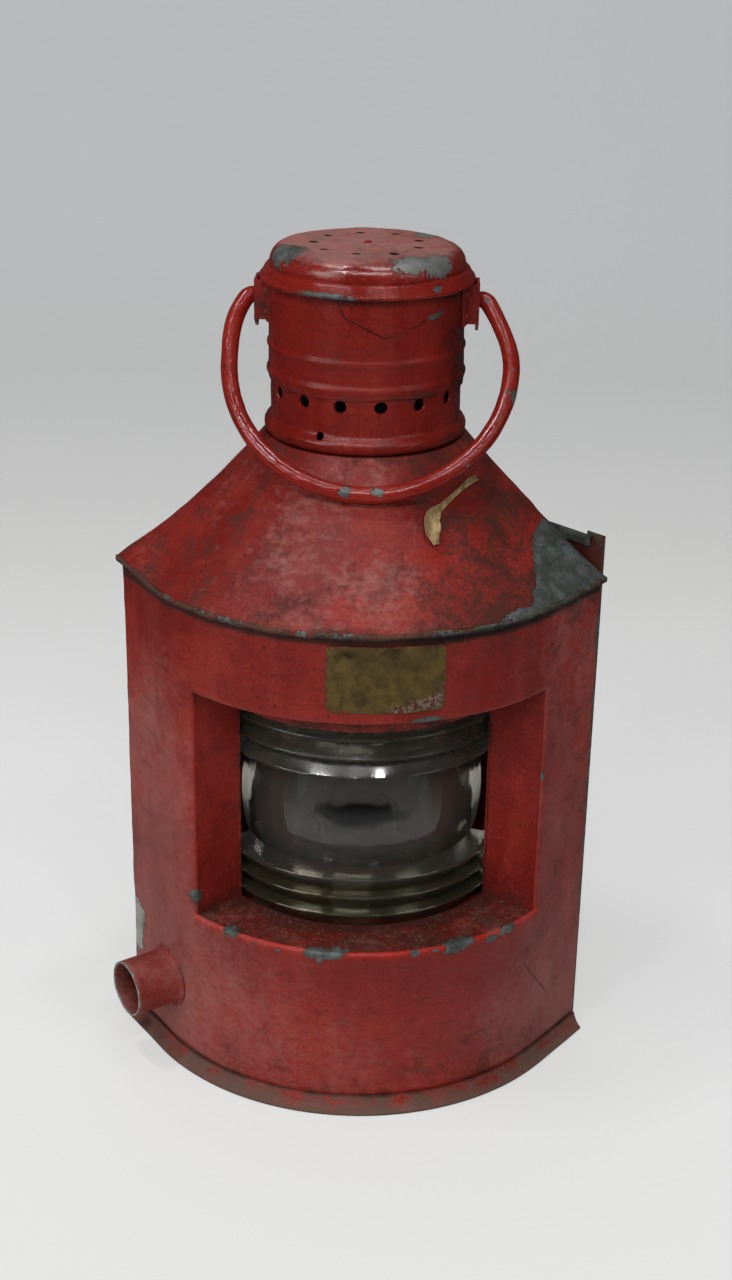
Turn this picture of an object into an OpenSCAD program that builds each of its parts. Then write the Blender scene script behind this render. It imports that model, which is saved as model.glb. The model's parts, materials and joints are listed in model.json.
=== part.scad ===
// Corner-pattern ship's oil lamp: curved front with a recessed drum lens, two flat
// rear walls that meet at a right angle, a ventilated chimney and a carrying bail.
// Origin on the floor, on the axis of lens, burner and chimney. Front is -Y.

/* [Body] */
// Radius of the curved front
nose_r = 122; // [114:1:130]
// How far the centre of the front curve lies behind the lamp axis
nose_back = 11; // [4:1:16]
// Angle from straight ahead to where the curve runs out into a flat side
nose_half_angle = 54; // [50:1:58]
// Distance from the lamp axis to the outer face of each rear wall
rear_distance = 70; // [68:1:80]
// Height of the eave above the floor
body_h = 275; // [265:1:300]
// Thickness of the sheet metal
sheet = 0.8; // [0.6:0.1:1]
// Thickness of the floor plate
floor_t = 1; // [0.8:0.1:1.5]
// Height of the flared skirt round the foot
skirt_h = 9; // [6:0.5:12]
// How far the skirt stands out at the floor
skirt_out = 7; // [4:0.5:9]

/* [Window] */
// Turn of the window away from straight ahead
window_turn = 4.8; // [0:0.1:6]
// Half of the angle that the window spans
window_half_angle = 48.3; // [44:0.1:50]
// Height of the window sill above the floor
sill_z = 95.6; // [92:0.1:104]
// Height of the window
window_h = 130; // [129:1:138]

/* [Lens] */
// Radius over the tips of the prism rings
lens_r = 80; // [76:0.5:82]
// Radius of the clear belt at its middle
belt_r = 70; // [67:0.5:72]
// Radius of the smooth inner face
lens_inner_r = 60; // [57:0.5:62]
// Gap between the top of the lens and the window head
head_gap = 14.1; // [13:0.1:20]
// Height of the clear belt
belt_h = 58; // [50:1:64]
// Prism rings above the belt, and as many below it
rings = 3; // [2:1:4]
// Depth of the pocket that the lens stands in, below the sill
lens_sunk = 6.1; // [4:0.1:8]
// Half of the angle that the lens spans
lens_half_angle = 68; // [64:1:74]
// Thickness of the packing above and below the lens
packing_t = 1.3; // [0.8:0.1:2]

/* [Roof] */
// Rise of the roof from the eave to the chimney
roof_rise = 68; // [60:1:78]
// Overhang of the eave beyond the front wall
eave_out = 3; // [2:0.5:5]
// Width of the folded bead along the eave
bead_w = 1.2; // [0.8:0.1:1.6]
// Height of the folded bead along the eave
bead_h = 3; // [2:0.5:4]
// Radius at the top of the roof
roof_top_r = 51.5; // [50.5:0.5:54]

/* [Chimney] */
// Outer radius of the chimney sleeve
sleeve_r = 49.6; // [47:0.1:50]
// Height from the roof to the lower edge of the sleeve
collar_h = 28.5; // [26:0.5:34]
// Height of the sleeve
sleeve_h = 56; // [52:1:64]
// Height of the crown above the rim
crown_h = 10; // [8:0.5:14]
// Radius of the rolled rim under the crown
rim_r = 54.2; // [53:0.1:55.5]
// Vent holes round the collar
collar_holes = 15; // [9:1:16]
// Diameter of a collar vent hole
collar_hole_d = 5; // [3:0.5:6]
// Vent holes in the crown
crown_holes = 9; // [6:1:12]
// Radius of the circle of crown holes
crown_hole_circle = 27; // [20:1:32]
// Diameter of a crown hole
crown_hole_d = 4; // [2:0.5:5]
// Outer radius of the inner flue
flue_r = 34; // [28:1:38]
// Length of the inner flue
flue_h = 148; // [120:1:152]

/* [Bail] */
// Radius of the wire
wire_r = 3.7; // [3.2:0.1:4]
// Radius of the bow of the bail
bail_r = 70; // [68:0.5:74]
// Radius of the two bends at the ears
elbow_r = 5.2; // [4.6:0.1:6]
// Radius of the pivot ends
pivot_r = 3; // [2.5:0.1:3.1]
// Running clearance round a pivot
pivot_gap = 0.06; // [0.02:0.01:0.1]
// Outer face of an ear, from the lamp axis
ear_x = 56.2; // [56:0.1:58]
// Width of an ear
ear_w = 17; // [14:1:20]
// Height of an ear
ear_h = 25; // [22:1:27]
// Thickness of the ear plate
ear_t = 1.5; // [1.2:0.1:2]

/* [Door] */
// Width of the sliding door
door_w = 160; // [150:1:164]
// Centre of the door along the wall, from the foot of its normal
door_x = 18; // [14:1:20]
// Height of the wall above the eave on the door side
upstand = 18.6; // [14:0.2:24]
// Depth of the hooked hem
hem_d = 3.7; // [3:0.1:4]
// Height of the hooked hem
hem_h = 5.4; // [4:0.1:8]
// Lip of a guide over the edge of the door
guide_lip = 5; // [3:0.5:6]
// Height of the doorway
doorway_h = 246; // [220:1:250]

/* [Inlet and plate] */
// Outer radius of the inlet pipe
pipe_r = 15.3; // [12:0.1:17]
// Wall of the inlet pipe
pipe_wall = 1.5; // [1:0.1:2.5]
// Length of the pipe outside the wall
pipe_out = 26; // [18:1:34]
// Height of the pipe above the floor
pipe_z = 44.6; // [36:0.2:60]
// Gap between the brass plate and the eave
plate_drop = 7.4; // [4:0.1:10]
// Width of the brass plate along the curve
plate_w = 59; // [44:1:70]
// Height of the brass plate
plate_h = 35; // [24:1:38]
// Turn of the brass plate away from straight ahead
plate_turn = 7.4; // [0:0.1:10]

/* [Font and burner] */
// Outer radius of the oil font
font_r = 52; // [40:1:54]
// Height of the oil font
font_h = 66; // [50:1:68]
// Radius of the burner deck
deck_r = 26.5; // [24:0.5:30]
// Width of the wick
wick_w = 12.8; // [10:0.2:14]
// Thickness of the wick
wick_t = 2.4; // [2:0.1:3]
// Radius of the wick wheels
wheel_r = 4; // [3:0.2:5]
// Radius of the wick spindle
spindle_r = 1.5; // [1.2:0.1:1.8]
// Radius of the wick knob
knob_r = 8.5; // [6:0.5:10]
// Radius of the filler plug
filler_r = 8; // [6:0.5:9]
// Radius of the reflector
reflector_r = 45; // [40:1:48]

/* [Wall socket] */
// Inner width of the socket
socket_w = 32; // [24:1:40]
// Inner depth of the socket
socket_d = 9; // [6:0.5:12]
// Height of the socket
socket_h = 60; // [40:1:80]
// Thickness of the socket plate
socket_t = 1.5; // [1.2:0.1:2.5]
// Height of the lower end of the socket
socket_z = 150; // [120:1:180]

/* [Hidden] */
red = "#8e1f17";
worn_red = "#6f2019";
galvanised = "#7d8380";
brass = "#7c6a33";
tin = "#9a9a92";
glass = "#8f9685";
felt = "#3b3a36";
cotton = "#cfc6ae";

$fn = 96;
rear_angle = 45;
fit = 0.1;
seam = 0.05;
rivet_r = 1.5;
rivet_head_r = 2.4;
rivet_head_h = 1.1;

nose_c = [0, nose_back];
crease = 0.05;
big = 400;

// Window and lens heights
window_top = sill_z + window_h;
lens_h = window_h + lens_sunk - head_gap;
lens_z0 = sill_z - lens_sunk;
lens_top = lens_z0 + lens_h;
lens_mid = lens_z0 + lens_h / 2;
rim_in = lens_r + 1.6;
rim_out = rim_in + sheet;
frame_lip = 3;

// Foot skirt
skirt_t = 1.2;
skirt_top_out = skirt_t + 0.15;

// Roof and chimney heights
roof_inset = 1.4 * sheet;
roof_z = body_h + roof_rise;
sleeve_z0 = roof_z + collar_h;
rim_z = sleeve_z0 + sleeve_h;
crown_z = rim_z + sheet + crown_h;
collar_r = sleeve_r - sheet - fit;
collar_overlap = 6;
collar_hole_z = roof_z + 24.4;
collar_hole_turn = -61;
collar_rivet_count = 5;
collar_rivet_z = roof_z + 8.4;
collar_rivet_turn = -25.2;
crown_r = sleeve_r - 0.6;
crown_fillet = 8.6;
baffle_drop = 9;
baffle_t = 1;
baffle_z = crown_z - sheet - baffle_drop;
flue_top = rim_z - 20;

// Bail
pivot_z = rim_z - 16;
elbow_x = ear_x + 0.4;
elbow_drop = sqrt(pow(bail_r - elbow_r, 2) - pow(elbow_x, 2)) + elbow_r;
elbow_angle = 90 - asin((elbow_drop - elbow_r) / (bail_r - elbow_r));
bail_reach = elbow_drop + bail_r;
roof_foot_y = nose_r + eave_out - nose_back;
roof_slope = atan((roof_rise - sheet) / (roof_foot_y - roof_top_r));
pivot_above_roof = (pivot_z - roof_z) * cos(roof_slope) - roof_top_r * sin(roof_slope);
bail_gap = 0.35;
bail_rest = acos((pivot_above_roof - wire_r - bail_gap) / bail_reach) - roof_slope;
pivot_head_h = 1.6;
pivot_in = ear_x - ear_t - pivot_head_h - 2;

// Door side: heights along the wall
wall_top = body_h + upstand;
door_t = sheet;
door_gap = 0.3;
door_z0 = 8;
doorway_z0 = 14;
hook_gap = 0.3;
door_top = wall_top + hook_gap + sheet;
guide_side = 6.5;

// Font and burner heights
tray_z = floor_t;
tray_h = 2;
font_z0 = tray_z + tray_h;
font_top = font_z0 + font_h;
deck_z = lens_mid - 37;
cone_top = lens_mid - 13;
spindle_z = deck_z - 11;
burner_r = 18;
burner_z0 = font_top + 6;
collar_in = 15;
tube_gap = 0.35;
spindle_y = wick_t / 2 + 0.3 + wheel_r;
wick_bottom = font_z0 + 16;
wick_top = cone_top - 5;
filler_at = [-30, 24];

// Start of a flat side, just inside the front curve, with the front moved out by fo
function flat_pt(fo, side) =
    nose_c + (nose_r + fo - crease) * [side * sin(nose_half_angle), -cos(nose_half_angle)]
    - 2 * [side * cos(nose_half_angle), sin(nose_half_angle)];

// Where a flat side meets a rear wall, with the front moved by fo and the rear by ro
function corner_pt(fo, ro, side) =
    let (
        front = nose_r + fo - crease,
        rear = rear_distance + ro - nose_back * sin(rear_angle),
        det = cos(nose_half_angle - rear_angle),
        x = (front * sin(rear_angle) + rear * cos(nose_half_angle)) / det,
        y = (rear * sin(nose_half_angle) - front * cos(rear_angle)) / det
    ) nose_c + [side * x, y];

function apex_pt(ro) = [0, (rear_distance + ro) / sin(rear_angle)];

// Plan of the body, front moved out by fo and rear walls by ro. The curve runs a little
// way into the flat sides, which lie a hair inside it, so the two meet in a clean crease
module plan(fo = 0, ro = 0) {
    intersection() {
        translate(nose_c) circle(nose_r + fo);
        translate([-big, nose_back - (nose_r + fo) * cos(nose_half_angle + 4) - big])
            square([2 * big, big]);
    }
    polygon([
        flat_pt(fo, 1), corner_pt(fo, ro, 1), apex_pt(ro), corner_pt(fo, ro, -1), flat_pt(fo, -1)
    ]);
}

// Flat wedge that opens to the front, spanning an angle on each side
module wedge(half) {
    polygon([
        [0, 0], big * [-sin(half), -cos(half)], [-big * sin(half), -2 * big],
        [big * sin(half), -2 * big], big * [sin(half), -cos(half)]
    ]);
}

module slab(z0, z1) {
    translate([0, 0, z0]) linear_extrude(z1 - z0) children();
}

// A section in radius and height, swept round the front curve and along both flat sides
module front_band(z0, z1) {
    intersection() {
        union() {
            translate(nose_c) rotate(-90 - nose_half_angle)
                rotate_extrude(angle = 2 * nose_half_angle) children();
            for (side = [0, 1]) mirror([side, 0, 0])
                translate(nose_c) rotate(nose_half_angle - 90) translate([0, big / 2, 0])
                    rotate([90, 0, 0]) linear_extrude(big / 2) children();
        }
        slab(z0, z1) plan(3 * skirt_out, 0);
    }
}

// Frame of a rear wall: x along it to the right seen from behind the lamp, y outwards
module on_right_wall() { rotate(-rear_angle) translate([0, rear_distance, 0]) children(); }
module on_left_wall() { rotate(rear_angle) translate([0, rear_distance, 0]) children(); }

// Sector about the lamp axis between two turns from straight ahead
module sector(from, to) {
    rotate(from - 90) rotate_extrude(angle = to - from) children();
}

module tube(r_out, r_in, h) {
    difference() {
        cylinder(r = r_out, h = h);
        translate([0, 0, -1]) cylinder(r = r_in, h = h + 2);
    }
}

module radial_hole(r, turn, z, from, to) {
    translate([0, 0, z]) rotate(turn - 90) translate([from, 0, 0]) rotate([0, 90, 0])
        cylinder(r = r, h = to - from, $fn = 32);
}

// Casing
module skirt_solid(inset, behind, z0, z1) {
    hull() {
        slab(z0, z0 + 0.1) plan(skirt_out - inset, behind);
        slab(z1 - 0.1, z1) plan(skirt_top_out - inset, behind);
    }
}

module base_tray() {
    color(worn_red) difference() {
        skirt_solid(0, 0, 0, skirt_h);
        skirt_solid(skirt_t, 5, floor_t, skirt_h + 0.1);
    }
}

module front_shell() {
    color(red) difference() {
        slab(floor_t, body_h) difference() {
            plan(0, 0);
            plan(-sheet, 5);
        }
        slab(sill_z, window_top) difference() {
            translate(nose_c) rotate(window_turn) wedge(window_half_angle);
            translate(nose_c) circle(nose_r - 20);
        }
        pipe_place() cylinder(r = pipe_r + seam, h = 2 * pipe_in, center = true);
    }
}

module rear_walls() {
    difference() {
        plan(-sheet, 0);
        plan(20, -sheet);
    }
}

module rear_wall_left() {
    color(red) difference() {
        slab(floor_t, body_h + sheet) intersection() {
            rear_walls();
            translate([-big, -big]) square([big, 2 * big]);
        }
        on_left_wall() socket_rivets() cylinder(r = rivet_r + seam, h = 4 * sheet, center = true, $fn = 32);
    }
}

module rear_wall_right() {
    color(red) difference() {
        slab(floor_t, wall_top) intersection() {
            rear_walls();
            translate([0, -big]) square([big, 2 * big]);
        }
        on_right_wall() translate([door_x - door_w / 2 + 10, -2 * sheet, doorway_z0])
            cube([door_w - 20, 4 * sheet, doorway_h]);
    }
}

// Window recess
module recess_plan() {
    difference() {
        intersection() {
            plan(-sheet, 0);
            translate(nose_c) rotate(window_turn) wedge(window_half_angle);
        }
        circle(rim_in);
    }
}

module window_sill() {
    color(worn_red) slab(sill_z - sheet, sill_z) recess_plan();
}

module window_head() {
    color(red) slab(window_top, window_top + sheet) recess_plan();
}

module cheek(side) {
    color(red) difference() {
        slab(sill_z - sheet, window_top + sheet) intersection() {
            plan(-sheet, 0);
            translate(nose_c) rotate(window_turn + side * window_half_angle - 90)
                mirror([0, side < 0 ? 1 : 0]) translate([rim_in, 0]) square([nose_r - rim_in, sheet]);
        }
        translate([0, 0, sill_z - 5]) cylinder(r = rim_out + fit, h = window_h + 10);
    }
}
module window_cheek_left() { cheek(-1); }
module window_cheek_right() { cheek(1); }

// Roof: a shell from the body's plan to a circle, with a flat flange round its foot
module roof_solid(inset, z0, z1) {
    hull() {
        slab(z0, z0 + sheet) plan(eave_out - inset, -sheet - inset);
        translate([0, 0, z1 - sheet]) cylinder(r = roof_top_r - inset, h = sheet);
    }
}

module roof() {
    flange_w = 5;
    color(red) difference() {
        roof_solid(0, body_h, roof_z);
        roof_solid(roof_inset, body_h + sheet, roof_z - sheet);
        slab(body_h - 1, body_h + 2 * sheet) plan(-flange_w, -flange_w);
        translate([0, 0, roof_z - 10]) cylinder(r = collar_r - sheet, h = 20);
    }
}

module eave_bead() {
    color(galvanised) front_band(body_h + sheet - bead_h, body_h + sheet)
        translate([nose_r + eave_out + seam, body_h + sheet - bead_h]) square([bead_w, bead_h]);
}

// Sliding door in the right rear wall, and its guides
module sliding_door() {
    color(red) on_right_wall() translate([door_x - door_w / 2, 0, 0]) {
        translate([0, door_gap, door_z0]) cube([door_w, door_t, door_top - door_z0]);
        translate([0, door_gap + door_t - hem_d, door_top - sheet]) cube([door_w, hem_d, sheet]);
        translate([0, door_gap + door_t - hem_d, door_top - hem_h]) cube([door_w, sheet, hem_h]);
    }
}

// Guide on one edge of the door; away is 1 towards the corner and -1 towards the apex
module door_guide(away) {
    depth = door_gap + door_t + door_gap;
    edge = door_x + away * (door_w / 2 + door_gap);
    color(red) on_right_wall() translate([edge, 0, floor_t]) mirror([away < 0 ? 1 : 0, 0, 0]) {
        cube([guide_side, depth, door_top + 1 - floor_t]);
        translate([-door_gap - guide_lip, depth, 0])
            cube([guide_side + door_gap + guide_lip, sheet, door_top + 1 - floor_t]);
    }
}
module door_guide_corner() { door_guide(1); }
module door_guide_apex() { door_guide(-1); }

// Inlet pipe, square to the left flat side
pipe_in = 4;
pipe_along = 5;
module pipe_place() {
    translate(nose_c) mirror([1, 0, 0]) rotate(nose_half_angle - 90)
        translate([nose_r, pipe_along, pipe_z]) rotate([0, 90, 0]) children();
}

module inlet_pipe() {
    color(red) pipe_place() translate([0, 0, -pipe_in])
        tube(pipe_r, pipe_r - pipe_wall, pipe_in + pipe_out);
}

module name_plate() {
    plate_z = body_h - plate_drop - plate_h;
    corner = 4;
    color(brass) intersection() {
        translate(nose_c) difference() {
            cylinder(r = nose_r + seam + 0.8, h = big);
            translate([0, 0, -1]) cylinder(r = nose_r + seam, h = big + 2);
        }
        translate([nose_c[0], nose_c[1], plate_z]) rotate(plate_turn) rotate([90, 0, 0])
            linear_extrude(nose_r + 10) for (x = [-1, 1], z = [0, 1]) {
                translate([x * (plate_w / 2 - corner), corner + z * (plate_h - 2 * corner)]) circle(corner);
                translate([-plate_w / 2, corner]) square([plate_w, plate_h - 2 * corner]);
                translate([-plate_w / 2 + corner, 0]) square([plate_w - 2 * corner, plate_h]);
            }
    }
}

// Socket on the left rear wall, for the tongue of a ship's bracket
socket_x = -18;
socket_flange = 13;
module socket_rivets() {
    for (x = [-1, 1], z = [0.2, 0.8])
        translate([
            socket_x + x * (socket_w / 2 + socket_t + socket_flange / 2 - 0.5), 0, socket_z + z * socket_h
        ]) rotate([90, 0, 0]) children();
}

module mount_socket() {
    color(red) on_left_wall() difference() {
        translate([socket_x, 0, socket_z]) linear_extrude(socket_h) {
            translate([-socket_w / 2 - socket_t, socket_d]) square([socket_w + 2 * socket_t, socket_t]);
            for (x = [0, 1]) mirror([x, 0]) {
                translate([socket_w / 2, 0]) square([socket_t, socket_d]);
                translate([socket_w / 2, 0]) square([socket_t + socket_flange, socket_t]);
            }
        }
        socket_rivets() cylinder(r = rivet_r + seam, h = 6 * socket_t, center = true, $fn = 32);
    }
}

module rivet(grip) {
    cylinder(r = rivet_r, h = grip, $fn = 32);
    translate([0, 0, grip]) cylinder(r1 = rivet_head_r, r2 = rivet_r, h = rivet_head_h, $fn = 32);
}

module mount_rivets() {
    color(red) on_left_wall() socket_rivets() mirror([0, 0, 1]) translate([0, 0, -sheet])
        rivet(sheet + socket_t);
}

// Chimney
module bead_section(r, z, half_h, out) {
    rho = (half_h * half_h + out * out) / (2 * out);
    intersection() {
        translate([r + out - rho, z]) circle(rho);
        translate([r - sheet / 2, z - half_h]) square([out + sheet, 2 * half_h]);
    }
}

module chimney_collar() {
    color(red) difference() {
        rotate_extrude() {
            translate([collar_r - sheet, roof_z]) square([sheet, collar_h + collar_overlap]);
            bead_section(collar_r, roof_z + 4.4, 4.4, 3.3);
        }
        for (i = [0:collar_holes - 1])
            radial_hole(collar_hole_d / 2, collar_hole_turn + i * 360 / collar_holes, collar_hole_z,
                collar_r - 5, collar_r + 5);
        for (i = [0:collar_rivet_count - 1])
            radial_hole(rivet_r + seam, collar_rivet_turn + i * 360 / collar_rivet_count, collar_rivet_z,
                collar_r - 5, collar_r + 5);
    }
}

// The heads are inside. One of the rivets has dropped out, and its hole is open
module collar_rivets() {
    color(red) for (i = [1:collar_rivet_count - 1])
        rotate(collar_rivet_turn + i * 360 / collar_rivet_count - 90)
            translate([collar_r + fit, 0, collar_rivet_z]) rotate([0, -90, 0]) rivet(sheet + 2 * fit);
}

module chimney_sleeve() {
    color(red) rotate_extrude() {
        translate([sleeve_r - sheet, sleeve_z0]) square([sheet, sleeve_h]);
        bead_section(sleeve_r, sleeve_z0 + 4, 3, 1);
        bead_section(sleeve_r, sleeve_z0 + 17.4, 2.2, 0.9);
    }
}

module cap_rim() {
    roll = 1.5;
    roll_at = [rim_r - roll, rim_z - 5];
    color(red) rotate_extrude() {
        translate(roll_at) circle(roll, $fn = 32);
        polygon([
            [sleeve_r - 2, rim_z], [sleeve_r + 0.3, rim_z], roll_at - [1.2, 0], roll_at + [0.3, 1.2],
            [sleeve_r + 0.9, rim_z + sheet], [sleeve_r - 2, rim_z + sheet]
        ]);
    }
}

module crown_section(inset) {
    h = crown_h - inset;
    r = crown_r - inset;
    f = crown_fillet - inset;
    square([r, h - f]);
    square([r - f, h]);
    translate([r - f, h - f]) intersection() {
        circle(f);
        square(f);
    }
}

module cap_crown() {
    color(red) translate([0, 0, rim_z + sheet]) difference() {
        rotate_extrude() crown_section(0);
        translate([0, 0, -seam]) rotate_extrude() crown_section(sheet);
        for (i = [0:crown_holes - 1]) rotate(i * 360 / crown_holes + 20)
            translate([crown_hole_circle, 0, 0]) cylinder(d = crown_hole_d, h = 2 * crown_h, $fn = 32);
        cylinder(r = rivet_r + seam, h = 2 * crown_h, $fn = 32);
    }
}

module baffle_stem() {
    color(galvanised) translate([0, 0, baffle_z]) {
        rivet(baffle_drop + sheet);
        translate([0, 0, baffle_t]) cylinder(r = 2 * rivet_r, h = baffle_drop - baffle_t - fit, $fn = 32);
        translate([0, 0, -rivet_head_h]) cylinder(r = rivet_head_r, h = rivet_head_h, $fn = 32);
    }
}

module wind_baffle() {
    flat_r = 12;
    edge = [flue_r + 5, -5];
    color(galvanised) translate([0, 0, baffle_z]) difference() {
        rotate_extrude() polygon([
            [0, 0], [flat_r, 0], edge, edge + [0, baffle_t], [flat_r, baffle_t], [0, baffle_t]
        ]);
        translate([0, 0, -1]) cylinder(r = rivet_r + seam, h = 3, $fn = 32);
    }
}

module inner_flue() {
    color(galvanised) translate([0, 0, flue_top - flue_h]) tube(flue_r, flue_r - sheet, flue_h);
}

module flue_spider() {
    spider_z = roof_z + 14;
    spider_h = 4;
    color(galvanised) translate([0, 0, spider_z]) {
        tube(flue_r + fit + 1.5, flue_r + fit, spider_h);
        difference() {
            for (i = [0:2]) rotate(i * 120 + 90) translate([flue_r + 0.8, -3, 0])
                cube([collar_r - flue_r, 6, 1.2]);
            translate([0, 0, -1]) cylinder(r = flue_r + fit, h = spider_h + 2);
            translate([0, 0, -1]) tube(collar_r + 20, collar_r - sheet - fit, spider_h + 2);
        }
    }
}

// Ear on the right; the left one is its mirror
module ear() {
    z1 = rim_z - 6.8;
    z0 = z1 - ear_h;
    foot_w = 6;
    foot_in = sleeve_r + seam;
    difference() {
        union() {
            translate([ear_x - ear_t, 0, 0]) rotate([90, 0, 90]) linear_extrude(ear_t) polygon([
                [-ear_w / 2, z1], [-ear_w / 2, z0 + 5], [0, z0], [ear_w / 2, z0 + 5], [ear_w / 2, z1]
            ]);
            for (y = [0, 1]) mirror([0, y, 0]) {
                translate([foot_in - 6, ear_w / 2 - ear_t, z0 + 5])
                    cube([ear_x - foot_in + 6 - seam, ear_t, z1 - z0 - 5]);
                intersection() {
                    translate([0, 0, z0 + 5]) cylinder(r = foot_in + ear_t, h = z1 - z0 - 5);
                    translate([foot_in - 12, ear_w / 2 - ear_t, z0 + 5])
                        cube([20, foot_w + ear_t, z1 - z0 - 5]);
                }
            }
        }
        translate([0, 0, z0 - 1]) cylinder(r = foot_in, h = ear_h + 2);
        translate([ear_x - 2 * ear_t, 0, pivot_z]) rotate([0, 90, 0])
            cylinder(r = pivot_r + pivot_gap, h = 3 * ear_t);
        ear_rivet_places() translate([0, 0, -2]) cylinder(r = rivet_r + seam, h = 8, $fn = 32);
    }
}

// Rivets through the feet of an ear, radial to the sleeve
module ear_rivet_places() {
    turn = asin((ear_w / 2 + 3) / sleeve_r);
    for (y = [-1, 1], z = [-1, 1]) rotate(y * turn)
        translate([sleeve_r, 0, rim_z - 6.8 - (ear_h - 5) / 2 + z * 5.5]) rotate([0, 90, 0]) children();
}

module bail_ear_right() { color(red) ear(); }
module bail_ear_left() { color(red) mirror([1, 0, 0]) ear(); }

module ear_rivets() {
    color(red) for (side = [0, 1]) mirror([side, 0, 0]) ear_rivet_places()
        translate([0, 0, seam]) rivet(ear_t + seam);
}

// Drawn hanging straight down from the pivots, then swung forward onto the roof
module wire_arc(r, angle) {
    rotate_extrude(angle = angle) translate([r, 0]) circle(wire_r, $fn = 48);
}

module bail_handle() {
    color(red) translate([0, 0, pivot_z]) rotate([-bail_rest, 0, 0]) {
        translate([0, 0, -elbow_drop]) rotate([90, 0, 0]) rotate(90 + elbow_angle)
            wire_arc(bail_r, 360 - 2 * elbow_angle);
        for (side = [0, 1]) mirror([side, 0, 0]) {
            translate([elbow_x, 0, -elbow_r]) rotate([90, 0, 0]) rotate(90 - elbow_angle) {
                wire_arc(elbow_r, elbow_angle);
                translate([elbow_r, 0, 0]) sphere(wire_r + 0.04, $fn = 48);
            }
            translate([pivot_in, 0, 0]) rotate([0, 90, 0]) {
                cylinder(r = pivot_r, h = elbow_x - pivot_in + 0.5, $fn = 48);
                cylinder(r = pivot_r + 1.2, h = pivot_head_h, $fn = 48);
            }
        }
    }
}

// Lens: sections in radius and height above the middle of the belt
belt_end_r = belt_r - 4;
notch_r = lens_r - 7.5;
ring_pitch = (lens_h - belt_h) / 2 / rings;
function belt_arc(n) = [for (i = [0:n]) let (t = 2 * i / n - 1)
    [belt_end_r + (belt_r - belt_end_r) * (1 - t * t), t * belt_h / 2]];
function ring_points(i) = let (z = belt_h / 2 + i * ring_pitch)
    [[lens_r, z], [lens_r, z + 1.4], [notch_r, z + ring_pitch]];
function upper_rings() = [for (i = [0:rings - 1]) each ring_points(i)];
function lower_rings() = [for (i = [len(upper_rings()) - 1:-1:0])
    [upper_rings()[i][0], -upper_rings()[i][1]]];

module lens_arc() {
    rotate(window_turn) sector(-lens_half_angle, lens_half_angle) children();
}

module lens() {
    color(glass, 0.5) translate([0, 0, lens_mid]) lens_arc() polygon(concat(
        [[lens_inner_r, -lens_h / 2]], lower_rings(), belt_arc(16), upper_rings(),
        [[lens_inner_r, lens_h / 2]]
    ));
}

module lens_rim_bottom() {
    z = lens_z0 - packing_t - sheet;
    color(galvanised) lens_arc() {
        translate([lens_inner_r - 1, z]) square([rim_out - lens_inner_r + 1, sheet]);
        translate([rim_in, z]) square([sheet, sill_z - sheet - z]);
    }
}

module lens_rim_top() {
    z = lens_top + packing_t;
    color(galvanised) lens_arc() {
        translate([lens_inner_r - 1, z]) square([rim_out - lens_inner_r + 1, sheet]);
        translate([rim_in, lens_top - frame_lip]) square([sheet, window_top - lens_top + frame_lip]);
    }
}

module lens_stile(side) {
    cheek_turn = 53;
    color(galvanised) rotate(window_turn)
        sector(side < 0 ? -lens_half_angle : cheek_turn, side < 0 ? -cheek_turn : lens_half_angle)
            translate([rim_in, sill_z]) square([sheet, lens_top - frame_lip - sill_z]);
}
module lens_stile_left() { lens_stile(-1); }
module lens_stile_right() { lens_stile(1); }

module packing(z) {
    color(felt) lens_arc() translate([lens_inner_r + 1, z])
        square([notch_r - lens_inner_r - 1, packing_t]);
}
module lens_packing_bottom() { packing(lens_z0 - packing_t); }
module lens_packing_top() { packing(lens_top); }

// Oil font and burner
module font_tray() {
    color(galvanised) translate([0, 0, tray_z]) {
        cylinder(r = font_r + 3, h = tray_h);
        translate([0, 0, tray_h]) difference() {
            tube(font_r + 3, font_r + 0.5, 6);
            rotate(-rear_angle) translate([-font_r - 10, 0, -1]) cube([2 * font_r + 20, font_r + 10, 10]);
        }
    }
}

module font_tank() {
    color(tin) difference() {
        translate([0, 0, font_z0]) rotate_extrude() difference() {
            square([font_r, font_h]);
            translate([0, sheet]) square([font_r - sheet, font_h - 2 * sheet]);
        }
        translate([0, 0, font_top - 5]) cylinder(r = collar_in, h = 10);
        translate([filler_at[0], filler_at[1], font_top - 5]) cylinder(r = filler_r, h = 10);
    }
}

module filler_neck() {
    color(brass) translate([filler_at[0], filler_at[1], font_top])
        tube(filler_r + 1.2, filler_r, 7);
}

module filler_plug() {
    color(brass) translate([filler_at[0], filler_at[1], font_top + 7]) {
        translate([0, 0, -9]) cylinder(r = filler_r - 0.08, h = 9);
        difference() {
            cylinder(r = filler_r + 2.5, h = 6);
            for (i = [0:15]) rotate(i * 22.5) translate([filler_r + 3.1, 0, -1])
                cylinder(r = 1.1, h = 8, $fn = 16);
        }
    }
}

module burner_collar() {
    color(brass) translate([0, 0, font_top]) tube(collar_in + 4, collar_in + fit, burner_z0 - font_top);
}

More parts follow.
